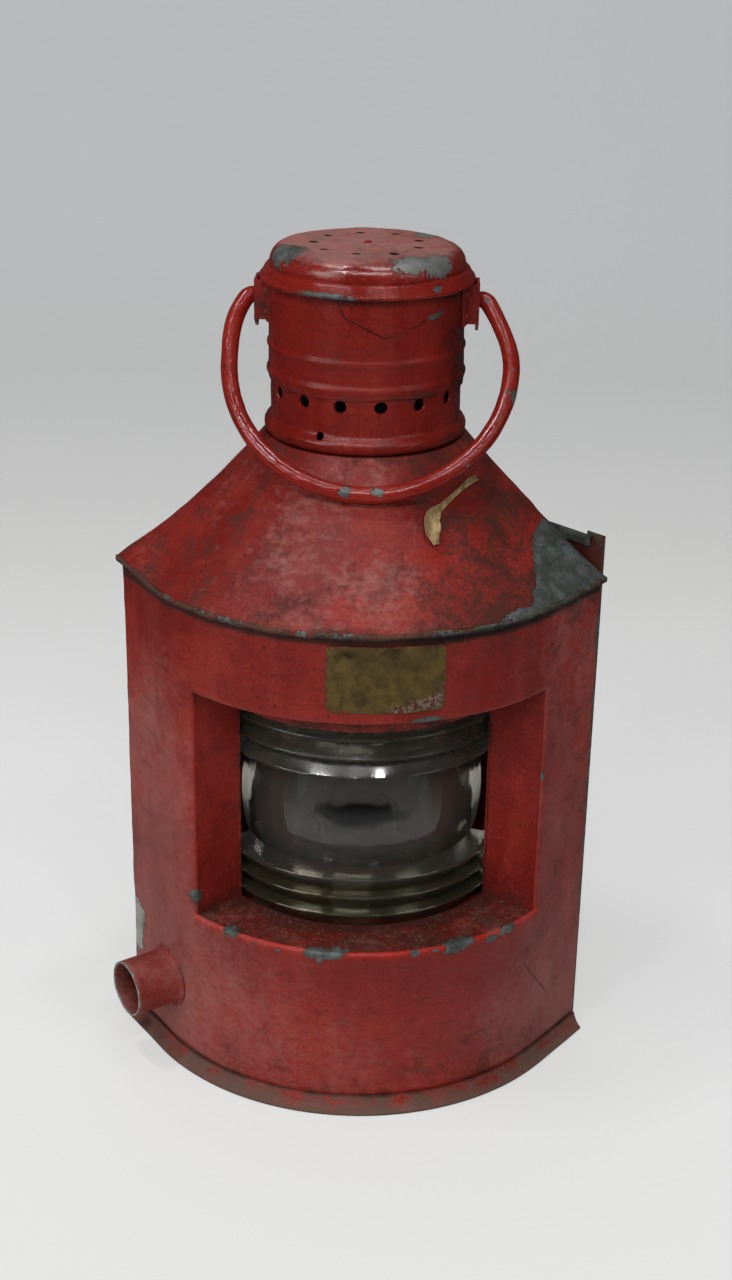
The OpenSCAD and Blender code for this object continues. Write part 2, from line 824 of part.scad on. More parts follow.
module burner_body() {
    color(brass) difference() {
        union() {
            translate([0, 0, font_top - 3]) cylinder(r = collar_in - 0.1, h = burner_z0 - font_top + 3);
            translate([0, 0, burner_z0]) cylinder(r = burner_r, h = deck_z - burner_z0);
            translate([0, 0, deck_z - 1.2]) cylinder(r = deck_r, h = 1.2);
        }
        translate([0, 0, burner_z0 + 1.5]) cylinder(r = burner_r - 1, h = deck_z);
        translate([0, 0, (font_top + deck_z) / 2])
            cube([wick_w + 2 * tube_gap + 1.6, wick_t + 2 * tube_gap + 1.6, 2 * font_h], center = true);
        translate([0, spindle_y, spindle_z]) rotate([0, 90, 0])
            cylinder(r = spindle_r + 0.06, h = 4 * burner_r, center = true);
        for (i = [0:7]) radial_hole(2, i * 45 + 22.5, burner_z0 + 6, burner_r - 4, burner_r + 4);
        for (i = [0:15]) rotate(i * 22.5) translate([(burner_r + deck_r) / 2, 0, deck_z - 3])
            cylinder(r = 1.3, h = 6, $fn = 24);
    }
}

module wick_tube() {
    inner = [wick_w + 2 * tube_gap, wick_t + 2 * tube_gap];
    outer = inner + [1.4, 1.4];
    color(brass) translate([0, 0, font_top - 6]) difference() {
        linear_extrude(cone_top - 3 - font_top + 6) difference() {
            square(outer, center = true);
            square(inner, center = true);
        }
        translate([-inner[0] / 2 + 0.5, 0, spindle_z - font_top + 6 - wheel_r - 0.6])
            cube([inner[0] - 1, 20, 2 * wheel_r + 1.2]);
    }
}

module wick() {
    color(cotton) translate([-wick_w / 2, -wick_t / 2, wick_bottom])
        cube([wick_w, wick_t, wick_top - wick_bottom]);
}

knob_x = 36;
module wick_spindle() {
    color(brass) translate([0, spindle_y, spindle_z]) rotate([0, 90, 0]) {
        translate([0, 0, -burner_r - 3]) cylinder(r = spindle_r, h = knob_x + burner_r + 3, $fn = 48);
        for (x = [-1, 1]) translate([0, 0, x * wick_w / 4 - 0.8]) difference() {
            cylinder(r = wheel_r, h = 1.6);
            for (i = [0:9]) rotate(i * 36) translate([wheel_r, 0, -1]) cylinder(r = 0.6, h = 4, $fn = 16);
        }
    }
}

module wick_knob() {
    color(brass) translate([knob_x, spindle_y, spindle_z]) rotate([0, 90, 0]) difference() {
        cylinder(r = knob_r, h = 4.5);
        for (i = [0:19]) rotate(i * 18) translate([knob_r + 0.5, 0, -1]) cylinder(r = 1, h = 7, $fn = 16);
    }
}

module burner_cone() {
    cone_r = burner_r + 3;
    slot = [wick_w + 5, wick_t + 4];
    color(brass) difference() {
        translate([0, 0, deck_z]) rotate_extrude() polygon([
            [cone_r, 0], [cone_r, 4], [cone_r - 5, 15], [11, cone_top - deck_z], [0, cone_top - deck_z + 1],
            [0, cone_top - deck_z + 0.4], [10.7, cone_top - deck_z - 0.6], [cone_r - 5.6, 14.7],
            [cone_r - 0.6, 3.8], [cone_r - 0.6, 0]
        ]);
        translate([0, 0, cone_top]) cube([slot[0], slot[1], 8], center = true);
    }
}

reflector_z0 = lens_mid - 42;
module reflector() {
    color(tin) translate([0, 0, reflector_z0]) sector(122, 238)
        translate([reflector_r, 0]) square([0.6, 84]);
}

module reflector_stem() {
    stem_r = reflector_r + 0.6 + seam;
    color(tin) sector(174, 186) {
        translate([stem_r, font_top]) square([1, reflector_z0 + 20 - font_top]);
        translate([stem_r - 6, font_top]) square([7, 1]);
    }
}

base_tray();
front_shell();
rear_wall_left();
rear_wall_right();
window_sill();
window_head();
window_cheek_left();
window_cheek_right();
roof();
eave_bead();
door_guide_corner();
door_guide_apex();
sliding_door();
inlet_pipe();
name_plate();
mount_socket();
mount_rivets();
chimney_collar();
collar_rivets();
chimney_sleeve();
cap_rim();
cap_crown();
baffle_stem();
wind_baffle();
inner_flue();
flue_spider();
bail_ear_left();
bail_ear_right();
ear_rivets();
bail_handle();
lens();
lens_rim_bottom();
lens_rim_top();
lens_stile_left();
lens_stile_right();
lens_packing_bottom();
lens_packing_top();
font_tray();
font_tank();
filler_neck();
filler_plug();
burner_collar();
burner_body();
wick_tube();
wick();
wick_spindle();
wick_knob();
burner_cone();
reflector();
reflector_stem();
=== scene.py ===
"""An old corner-pattern ship's oil lamp: its looks, built round its fixed metal frame."""

import json
import math

import bmesh
import bpy
import numpy as np
from bpy.props import FloatProperty, FloatVectorProperty, PointerProperty
from bpy.types import Operator, Panel, PropertyGroup
from mathutils import Matrix, Vector, noise


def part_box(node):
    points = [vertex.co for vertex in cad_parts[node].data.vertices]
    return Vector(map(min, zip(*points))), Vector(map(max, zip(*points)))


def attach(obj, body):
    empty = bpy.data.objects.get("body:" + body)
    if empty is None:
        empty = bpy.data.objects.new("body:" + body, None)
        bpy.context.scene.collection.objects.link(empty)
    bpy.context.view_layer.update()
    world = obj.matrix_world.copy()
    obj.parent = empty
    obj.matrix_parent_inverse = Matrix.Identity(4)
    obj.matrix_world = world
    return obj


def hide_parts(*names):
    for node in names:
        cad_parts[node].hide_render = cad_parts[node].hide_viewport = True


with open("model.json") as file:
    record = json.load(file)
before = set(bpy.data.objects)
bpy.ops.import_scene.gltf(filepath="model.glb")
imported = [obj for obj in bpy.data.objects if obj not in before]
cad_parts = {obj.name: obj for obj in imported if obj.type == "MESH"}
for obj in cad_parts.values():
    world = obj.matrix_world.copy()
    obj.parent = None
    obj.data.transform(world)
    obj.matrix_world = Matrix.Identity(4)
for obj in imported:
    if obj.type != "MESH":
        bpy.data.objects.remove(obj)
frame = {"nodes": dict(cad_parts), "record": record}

bl_info = {
    "name": "Ship's Oil Lamp",
    "version": (1, 0, 0),
    "blender": (4, 5, 0),
    "location": "3D View > Sidebar > Lamp",
    "description": "Builds a worn red ship's oil lamp piece by piece round its metal frame",
    "category": "Add Mesh",
}

MM = 0.001

# Plan of the casing in millimetres: a round nose, two short flats and two rear walls
NOSE_Y = 11.0
NOSE_R = 122.0
NOSE_HALF = 54.0
REAR = 70.0
REAR_TURN = 45.0
BODY_H = 275.0
SHEET = 0.8

# Window, turned a little to the right
WINDOW_TURN = 4.8
WINDOW_HALF = 48.3
SILL_Z = 95.6
HEAD_Z = 225.6
RIM_IN = 81.6
RIM_OUT = 82.4

# Lens
LENS_R = 80.0
LENS_NOTCH_R = 72.5
LENS_IN_R = 60.0
BELT_R = 70.0
BELT_END_R = 66.0
BELT_HALF = 29.0
LENS_Z0 = 89.5
LENS_TOP = 211.5
LENS_MID = 150.5
LENS_HALF = 68.0
RING_PITCH = (122.0 / 2 - BELT_HALF) / 3

# Roof and chimney
ROOF_Z0 = 275.0
ROOF_Z1 = 343.0
EAVE_OUT = 3.0
ROOF_TOP_R = 51.5
COLLAR_R = 48.7
SLEEVE_R = 49.6
SLEEVE_Z0 = 371.5
RIM_Z = 427.5
CROWN_Z = 438.3
CROWN_R = 49.0
CROWN_FILLET = 8.6
VENT_Z = 367.4
VENT_TURN = -61.0
VENTS = 15
OPEN_HOLE_Z = 351.6
CROWN_HOLES = 9
CROWN_HOLE_CIRCLE = 27.0

# Bail
WIRE_R = 3.7
BAIL_R = 70.0
ELBOW_R = 5.2
ELBOW_X = 56.6
PIVOT_R = 3.0
PIVOT_Z = 411.5
PIVOT_IN = 51.1

# Inlet pipe
PIPE_R = 15.3
PIPE_BORE = 13.8
PIPE_ROOT = Vector((-101.64, -56.66, 44.6))
PIPE_WAY = Vector((-0.80902, -0.58779, 0.0))
PIPE_OUT = 26.0
PIPE_IN = 4.0

# Rear walls and sliding door, measured along the wall from the foot of its normal
FLOOR_T = 1.0
WALL_TOP = 293.6
REAR_CORNER = 105.05
DOORWAY_X0 = -52.0
DOORWAY_X1 = 88.0
DOORWAY_Z0 = 14.0
DOORWAY_Z1 = 260.0
DOOR_X0 = -62.0
DOOR_X1 = 98.0
DOOR_Y = 0.7
DOOR_Z0 = 8.0
DOOR_TOP = 294.7

# Brass plate
PLATE_W = 59.0
PLATE_H = 35.0
PLATE_Z0 = 232.6
PLATE_TURN = 7.4


# Chips, dents and dust as (x, y, z, width, height) in millimetres; the roof's dust spots at the front middle also paint
# its sheen, and its grime spots at the right also paint shade
FRONT_CHIPS = [(-82.9, -76.2, 106.8, 7.5, 8), (-63, -91.3, 95.0, 10, 5), (-37.8, -104.4, 92.8, 3, 3.5), (-20, -108, 94.4, 8, 6),
               (-14.5, -109, 94.2, 9, 7.5), (-6.2, -108.5, 95.2, 10, 5), (33.6, -105.4, 94.6, 5.5, 3.4), (54, -97, 93.6, 13, 7),
               (59, -95, 95.5, 12, 7), (73.3, -86.1, 92.4, 7.5, 4), (83.5, -78, 94.2, 9, 4), (79, -81.8, 93.6, 4, 3),
               (36.9, -104.8, 227.6, 16, 3), (96.9, -60.9, 175.7, 2.4, 5), (-121.5, -29, 66, 13, 18), (-122, -28, 52, 10, 20),
               (124, -25.5, 245, 3, 28), (-123.8, -25, 200, 2.5, 9), (124, -25, 120, 2, 12), (-123.8, -25, 145, 2, 8),
               (14, -110.9, 93.9, 2.4, 2), (44, -101.8, 94.2, 3, 2), (-50, -98.5, 93.2, 3, 2.2)]
FRONT_GRIME = [(-100, -62, 26, 30, 16), (-96, -66, 60, 26, 14), (96, -64, 76, 16, 8), (60, -94, 30, 40, 30), (-122, -28, 110, 8, 70),
               (-30, -106, 40, 16, 10), (20, -110, 60, 20, 8)]
ROOF_CHIPS = [(-52, -83.5, 287, 3, 2.4), (-28, -92, 287, 5, 1.6), (50, -60, 308, 2.4, 2), (-79, -64, 286, 3, 2)]
ROOF_DUST = [(-14, -88, 300, 52, 60), (8, -92, 292, 50, 30), (-8, -64, 326, 46, 26)]
ROOF_GRIME = [(62, -50, 312, 50, 60), (84, -60, 285, 40, 30), (40, -50, 328, 30, 20), (-52, -40, 325, 30, 24), (-60, -60, 300, 40, 30), (66, -64, 296, 46, 22), (-30, -92, 285, 20, 12), (30, -90, 289, 24, 14), (-90, -40, 290, 40, 20)]
ROOF_DENTS = [(-30, -78, 20, 0.8), (45, -74, 16, 0.7), (-78, -50, 18, 0.8), (10, -92, 14, 0.5), (78, -48, 15, 0.7)]
CHIMNEY_CHIPS = [(-38, -20, 436.5, 18, 14), (-42, -14, 436, 14, 12), (24, -38.5, 436, 22, 7), (36, -31.5, 434.5, 18, 11),
                 (29.6, 25.6, 438, 13, 4), (-20, -49.6, 423, 22, 2.6), (-9, -52.6, 422, 12, 2), (34.7, -39.7, 424.6, 6, 2.4),
                 (33.7, -36.2, 410.6, 7, 2.6), (37, -33.5, 412, 4, 2.2), (-43.5, -10, 352.4, 4, 2), (30, 40, 405, 8, 5)]
BAIL_CHIPS = [(-7, -71.9, 332.3, 5.6, 5), (8.6, -71.7, 332.7, 5.6, 5), (73, -36, 371, 6, 9), (-73, -20, 392, 3, 3),
              (-66, -52, 352, 3, 2), (52, -60, 344, 3, 2), (60, -4, 411, 3, 3), (-40, -66, 337, 3, 2)]
PLATE_CRUST = [(34, -106, 236.5, 17, 6), (24, -108.4, 234.5, 10, 3.5), (40, -104, 238.5, 8, 7)]
BODY_SCRATCHES = [[(92.5, -68.4, 67.8), (95.6, -64.5, 60), (99.6, -59.5, 52.2), (106.2, -50.2, 38.6)],
                  [(-24, -107, 62), (-17, -108.9, 59.5), (-11, -110.2, 61)]]
WALL_CHIPS = [(70, 29, 270, 8, 6), (105, -6, 40, 7, 9), (30, 69, 150, 5, 7), (-60, 39, 60, 8, 6), (-100, -1, 120, 6, 10),
              (-30, 69, 230, 7, 5), (112, -13, 180, 5, 8), (60, 39, 20, 12, 6), (-85, 14, 262, 6, 5), (122, -22, 245, 4, 28)]
SHRED = [(57.5, -32.5, 328.2), (53, -40, 328), (48.5, -48.5, 326.5), (43, -56, 323.5), (38.2, -62.5, 320.6), (34.8, -67.5, 317),
         (35.6, -72, 311.5), (37.9, -75.2, 307.4)]
SLEEVE_CRACKS = [[(-14.1, -47.7, 421.3), (-8.9, -48.7, 411.6), (-0.2, -49.6, 407.6), (10.4, -48.3, 402.2), (24.7, -42.8, 406.6), (29.4, -39.7, 409.4)]]


# Small helpers for selecting, shaping and finishing

def pick(*objs):
    bpy.ops.object.select_all(action="DESELECT")
    for obj in objs:
        obj.select_set(True)
    bpy.context.view_layer.objects.active = objs[0]


def link(name, mesh):
    obj = bpy.data.objects.new(name, mesh)
    bpy.context.scene.collection.objects.link(obj)
    return obj


def apply_modifier(obj, kind, **settings):
    pick(obj)
    made = obj.modifiers.new(kind.title(), kind)
    for key, value in settings.items():
        setattr(made, key, value)
    bpy.ops.object.modifier_apply(modifier=made.name)


def edit(obj, *steps):
    """Runs edit-mode steps on the whole mesh"""
    pick(obj)
    bpy.ops.object.mode_set(mode="EDIT")
    bpy.ops.mesh.select_all(action="SELECT")
    for step in steps:
        step()
    bpy.ops.object.mode_set(mode="OBJECT")


def join_seams(obj, gap=0.02 * MM):
    edit(obj, lambda: bpy.ops.mesh.remove_doubles(threshold=gap))


def face_outwards(obj):
    edit(obj, lambda: bpy.ops.mesh.normals_make_consistent(inside=False))


def places(obj):
    """Vertex places in millimetres, one row each"""
    co = np.empty(len(obj.data.vertices) * 3)
    obj.data.vertices.foreach_get("co", co)
    return co.reshape(-1, 3) / MM


def set_places(obj, co):
    obj.data.vertices.foreach_set("co", (co * MM).ravel())
    obj.data.update()


def wobble(x, y, z, size, seed=0.0):
    """Soft noise from -1 to 1 with features about that many millimetres wide"""
    return noise.noise(Vector((x / size + seed, y / size + 3.1 * seed, z / size - seed)))


def ripple(obj, amount, size, seed, hold=None):
    """Moves the vertices along their normals by soft noise. hold gives a share from 0 to 1"""
    co = places(obj)
    normals = np.empty(co.size)
    obj.data.vertex_normals.foreach_get("vector", normals)
    normals = normals.reshape(-1, 3)
    shift = np.array([wobble(*p, size, seed) + 0.4 * wobble(*p, size / 3, seed + 7) for p in co])
    if hold is not None:
        shift *= hold(co)
    set_places(obj, co + normals * (shift * amount)[:, None])


def band(value, low, high, soft):
    """1 between low and high, fading to 0 over soft on either side"""
    return np.clip(np.minimum(value - low, high - value) / soft, 0, 1)


def spots(co, listed):
    """Field that is 1 at the middle of each spot, 0.5 at its edge and 0 at twice that.
    Each spot has a middle, a width and a height in millimetres"""
    field = np.zeros(len(co))
    for x, y, z, wide, high in listed:
        flat = np.hypot(co[:, 0] - x, co[:, 1] - y) / (wide / 2)
        reach = np.hypot(flat, (co[:, 2] - z) / (high / 2))
        field = np.maximum(field, 1 - 0.5 * reach)
    return field


def mark(obj, **fields):
    """Stores worn, grimy and dusty areas, and painted shade, sheen and highlights, as point attributes for the paint to
    read
    """
    for name, values in fields.items():
        layer = obj.data.attributes.new(name, "FLOAT", "POINT")
        layer.data.foreach_set("value", np.asarray(values, dtype=np.float32))


def settle(obj, body, slot, material, *nodes, angle=35.0):
    """Smooths, colours and hangs a finished piece on its body, in place of its CAD nodes"""
    pick(obj)
    bpy.ops.object.shade_smooth_by_angle(angle=math.radians(angle), keep_sharp_edges=False)
    obj.data.materials.clear()
    obj.data.materials.append(material)
    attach(obj, body)
    if nodes:
        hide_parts(*nodes)
    return obj


def lifted(x, y, z):
    """How far the bent-up left corner of the roof rises at a point"""
    near = min(max(1 - math.hypot(x + 124, y + 26) / 48, 0), 1)
    return 4.6 * near * near * (3 - 2 * near) * min(max((304 - z) / 24, 0), 1)


class Patchwork:
    """Faces laid out in flat parameters and then bent into place"""

    def __init__(self):
        self.points, self.faces, self.known = [], [], {}

    def point(self, place):
        key = tuple(round(c, 5) for c in place)
        if key not in self.known:
            self.known[key] = len(self.points)
            self.points.append(place)
        return self.known[key]

    def strip(self, low, high, skip=None):
        a, b = [self.point(p) for p in low], [self.point(p) for p in high]
        for i in range(len(a) - 1):
            if not (skip and skip(low[i], high[i + 1])):
                self.faces.append((a[i], a[i + 1], b[i + 1], b[i]))

    def rows(self, rows, skip=None):
        for low, high in zip(rows, rows[1:]):
            self.strip(low, high, skip)

    def build(self, name, bend):
        mesh = bpy.data.meshes.new(name)
        mesh.from_pydata([Vector(bend(*p)) * MM for p in self.points], [], self.faces)
        mesh.validate()
        obj = link(name, mesh)
        join_seams(obj)
        return obj


def spread(*stops):
    """Values that run through the stops: spread(0, (4, 10), (2, 12)) goes to 10 in 4 steps"""
    values = [float(stops[0])]
    for count, end in stops[1:]:
        start = values[-1]
        values += [start + (end - start) * (i + 1) / count for i in range(count)]
    return values


def hole_rings(patch, u0, u1, v0, v1, radii, across, up, rings, lip):
    """Fills a box of a patchwork round a hole in its middle. radii are the hole's in u and v,
    across and up the cells per side, and lip the (share of radius, depth) of each lip ring"""
    uc, vc = (u0 + u1) / 2, (v0 + v1) / 2
    bottom = [(u, v0) for u in spread(u0, (across, u1))]
    right = [(u1, v) for v in spread(v0, (up, v1))]
    top = [(u, v1) for u in spread(u1, (across, u0))]
    left = [(u0, v) for v in spread(v1, (up, v0))]
    outer = bottom + right[1:] + top[1:] + left[1:]
    inner = []
    for u, v in outer:
        turn = math.atan2((v - vc) / radii[1], (u - uc) / radii[0])
        inner.append((uc + radii[0] * math.cos(turn), vc + radii[1] * math.sin(turn)))
    loops = []
    for i in range(rings + 1):
        f = i / rings
        loops.append([(a + (c - a) * f, b + (d - b) * f, 0.0) for (a, b), (c, d) in zip(outer, inner)])
    for share, depth in lip:
        loops.append([(uc + (u - uc) * share, vc + (v - vc) * share, depth) for u, v in inner])
    patch.rows(loops)


def lathe(name, profile, steps=120, closed=False, turn=360.0, start=0.0):
    """Spins a profile of (radius, height) round the lamp's axis. start is from straight ahead"""
    way = math.radians(start) - math.pi / 2
    points = [(r * MM * math.cos(way), r * MM * math.sin(way), z * MM) for r, z in profile]
    edges = [(i, i + 1) for i in range(len(points) - 1)]
    if closed:
        edges.append((len(points) - 1, 0))
    mesh = bpy.data.meshes.new(name)
    mesh.from_pydata(points, edges, [])
    obj = link(name, mesh)
    edit(obj, lambda: bpy.ops.mesh.spin(steps=steps, angle=-math.radians(turn), center=(0, 0, 0), axis=(0, 0, 1)),
         lambda: bpy.ops.mesh.remove_doubles(threshold=0.01 * MM))
    return obj


def sweep(name, path, side, radius, around=14):
    """A rod along a flat path. side is the path's plane normal, radius a function of the index"""
    patch = Patchwork()
    ways = []
    for i in range(len(path)):
        along = path[min(i + 1, len(path) - 1)] - path[max(i - 1, 0)]
        ways.append(along.normalized().cross(side).normalized())
    turns = [360 * j / around for j in range(around + 1)]
    patch.rows([[(i, t) for t in turns] for i in range(len(path))])

    def bend(i, t):
        i, t = int(round(i)), math.radians(t)
        return path[i] + radius(i) * (ways[i] * math.cos(t) + side * math.sin(t))

    obj = patch.build(name, bend)
    edit(obj, lambda: bpy.ops.mesh.select_all(action="DESELECT"),
         lambda: bpy.ops.mesh.select_non_manifold(),
         lambda: bpy.ops.mesh.fill_holes(sides=0))
    face_outwards(obj)
    return obj


# The casing's plan. u runs from the left rear corner (-1) over the nose (0 to 1) to the
# right rear corner (2), along the right rear wall to the apex (3) and back (4)

def corner_point(front, rear, side):
    nose, half = NOSE_R + front, math.radians(NOSE_HALF)
    back, turn = REAR + rear - NOSE_Y * math.sin(math.radians(REAR_TURN)), math.radians(REAR_TURN)
    det = math.cos(half - turn)
    x = (nose * math.sin(turn) + back * math.cos(half)) / det
    y = (back * math.sin(half) - nose * math.cos(turn)) / det
    return Vector((side * x, NOSE_Y + y))


def plan_point(u, front=0.0, rear=0.0):
    apex = Vector((0, (REAR + rear) / math.sin(math.radians(REAR_TURN))))
    if 0 <= u <= 1:
        turn = math.radians(NOSE_HALF * (2 * u - 1))
        return Vector((math.sin(turn), -math.cos(turn))) * (NOSE_R + front) + Vector((0, NOSE_Y))
    if u > 3:
        return apex.lerp(corner_point(front, rear, -1), u - 3)
    if u > 2:
        return corner_point(front, rear, 1).lerp(apex, u - 2)
    if u > 1:
        return plan_point(1, front).lerp(corner_point(front, rear, 1), u - 1)
    return corner_point(front, rear, -1).lerp(plan_point(0, front), u + 1)


def wall_point(side, x, y):
    """Point on a rear wall, x along it towards the outer corner and y outwards. side is 1 at the right"""
    turn = math.radians(REAR_TURN)
    return Vector((side * (x * math.sin(turn) + (REAR + y) * math.cos(turn)), (REAR + y) * math.sin(turn) - x * math.cos(turn)))


def nose_u(turn):
    """Place on the nose of an angle from straight ahead"""
    return (turn + NOSE_HALF) / (2 * NOSE_HALF)


def nose_ray(turn, length):
    """Point at an angle and a distance from the centre of the nose"""
    turn = math.radians(turn)
    return Vector((length * math.sin(turn), NOSE_Y - length * math.cos(turn)))


def ray_to_axis_circle(turn, radius):
    """Length of that ray where it crosses a circle about the lamp's axis"""
    c = math.cos(math.radians(turn))
    return NOSE_Y * c + math.sqrt((NOSE_Y * c) ** 2 - NOSE_Y ** 2 + radius ** 2)


# Materials

def srgb(red, green, blue):
    """A colour as it is seen, 0 to 255, in the renderer's own numbers"""
    out = []
    for c in (red, green, blue):
        c /= 255
        out.append(c / 12.92 if c <= 0.04045 else ((c + 0.055) / 1.055) ** 2.4)
    return (*out, 1.0)


class Finish:
    """A procedural material under construction, with short names for its nodes"""

    def __init__(self, name):
        self.material = bpy.data.materials.new(name)
        self.material.use_nodes = True
        self.tree = self.material.node_tree
        self.tree.nodes.clear()
        self.coords = self.node("ShaderNodeTexCoord").outputs["Object"]
        self.up = self.node("ShaderNodeSeparateXYZ", {
            0: self.node("ShaderNodeNewGeometry").outputs["Normal"]}).outputs["Z"]

    def node(self, kind, sockets=None, **settings):
        made = self.tree.nodes.new(kind)
        for key, value in settings.items():
            setattr(made, key, value)
        for key, value in (sockets or {}).items():
            if isinstance(value, bpy.types.NodeSocket):
                self.tree.links.new(value, made.inputs[key])
            else:
                made.inputs[key].default_value = value
        return made

    def noise(self, size, detail=4.0, rough=0.55, stretch=(1, 1, 1), seed=0.0, warp=0.0):
        """Noise with features about that many millimetres wide"""
        place = self.node("ShaderNodeMapping", {
            "Vector": self.coords, "Location": (seed, seed * 1.7, -seed), "Scale": stretch})
        return self.node("ShaderNodeTexNoise", {
            "Vector": place.outputs[0], "Scale": 1000.0 / size, "Detail": detail,
            "Roughness": rough, "Distortion": warp}).outputs["Fac"]

    def cells(self, size, seed=0.0, feature="F1"):
        place = self.node("ShaderNodeMapping", {"Vector": self.coords, "Location": (seed, seed, seed)})
        return self.node("ShaderNodeTexVoronoi", {
            "Vector": place.outputs[0], "Scale": 1000.0 / size}, feature=feature).outputs["Distance"]

    def math(self, operation, a, b=0.0, c=0.0):
        sockets = {0: a, 1: b}
        if operation in ("MULTIPLY_ADD",):
            sockets[2] = c
        return self.node("ShaderNodeMath", sockets, operation=operation).outputs[0]

    def fade(self, value, low, high, start=0.0, end=1.0):
        """Runs from start to end as value goes from low to high"""
        return self.node("ShaderNodeMapRange", {
            "Value": value, "From Min": low, "From Max": high, "To Min": start, "To Max": end},
            interpolation_type="SMOOTHSTEP").outputs[0]

    def mix(self, share, a, b, kind="MIX"):
        made = self.node("ShaderNodeMix", {0: share, 6: a, 7: b}, data_type="RGBA", blend_type=kind)
        return made.outputs[2]

    def mix_value(self, share, a, b):
        return self.node("ShaderNodeMix", {0: share, 2: a, 3: b}, data_type="FLOAT").outputs[0]

    def line(self, points, wide):
        """1 on a thin line through the points, in millimetres, fading over half its width"""
        nearest = None
        for a, b in zip(points, points[1:]):
            a, b = Vector(a) * MM, Vector(b) * MM
            way = b - a
            off = self.node("ShaderNodeVectorMath", {0: self.coords, 1: a}, operation="SUBTRACT").outputs[0]
            along = self.node("ShaderNodeVectorMath", {0: off, 1: way / way.length_squared}, operation="DOT_PRODUCT")
            along = self.node("ShaderNodeClamp", {0: along.outputs["Value"]}).outputs[0]
            near = self.node("ShaderNodeVectorMath", {0: way, "Scale": along}, operation="SCALE").outputs[0]
            gap = self.node("ShaderNodeVectorMath", {0: off, 1: near}, operation="DISTANCE").outputs["Value"]
            nearest = gap if nearest is None else self.math("MINIMUM", nearest, gap)
        wander = self.math("MULTIPLY", self.noise(3, 3, seed=91), 0.5 * MM)
        nearest = self.math("ABSOLUTE", self.math("SUBTRACT", nearest, wander))
        return self.fade(nearest, 0.25 * wide * MM, 0.5 * wide * MM, 1, 0)

    def field(self, name):
        return self.node("ShaderNodeAttribute", attribute_name=name).outputs["Fac"]

    def relief(self, height, depth, strength=1.0, onto=None):
        sockets = {"Height": height, "Distance": depth * MM, "Strength": strength}
        if onto is not None:
            sockets["Normal"] = onto
        return self.node("ShaderNodeBump", sockets).outputs[0]

    def close(self, **sockets):
        shader = self.node("ShaderNodeBsdfPrincipled", {
            key.replace("_", " "): value for key, value in sockets.items()})
        self.node("ShaderNodeOutputMaterial", {"Surface": shader.outputs[0]})
        return self.material


def colour(scene_value):
    return (*scene_value, 1.0)


def zinc_colour(f, metal):
    """Dull grey-green sheet with darker and paler clouds"""
    cloud = f.noise(9, 5, 0.6, seed=3)
    spots_ = f.noise(2.2, 3, seed=5)
    tone = f.mix(f.fade(cloud, 0.38, 0.66), metal, srgb(98, 104, 104))
    tone = f.mix(f.fade(spots_, 0.54, 0.68, 0, 0.75), tone, srgb(54, 50, 43))
    return tone


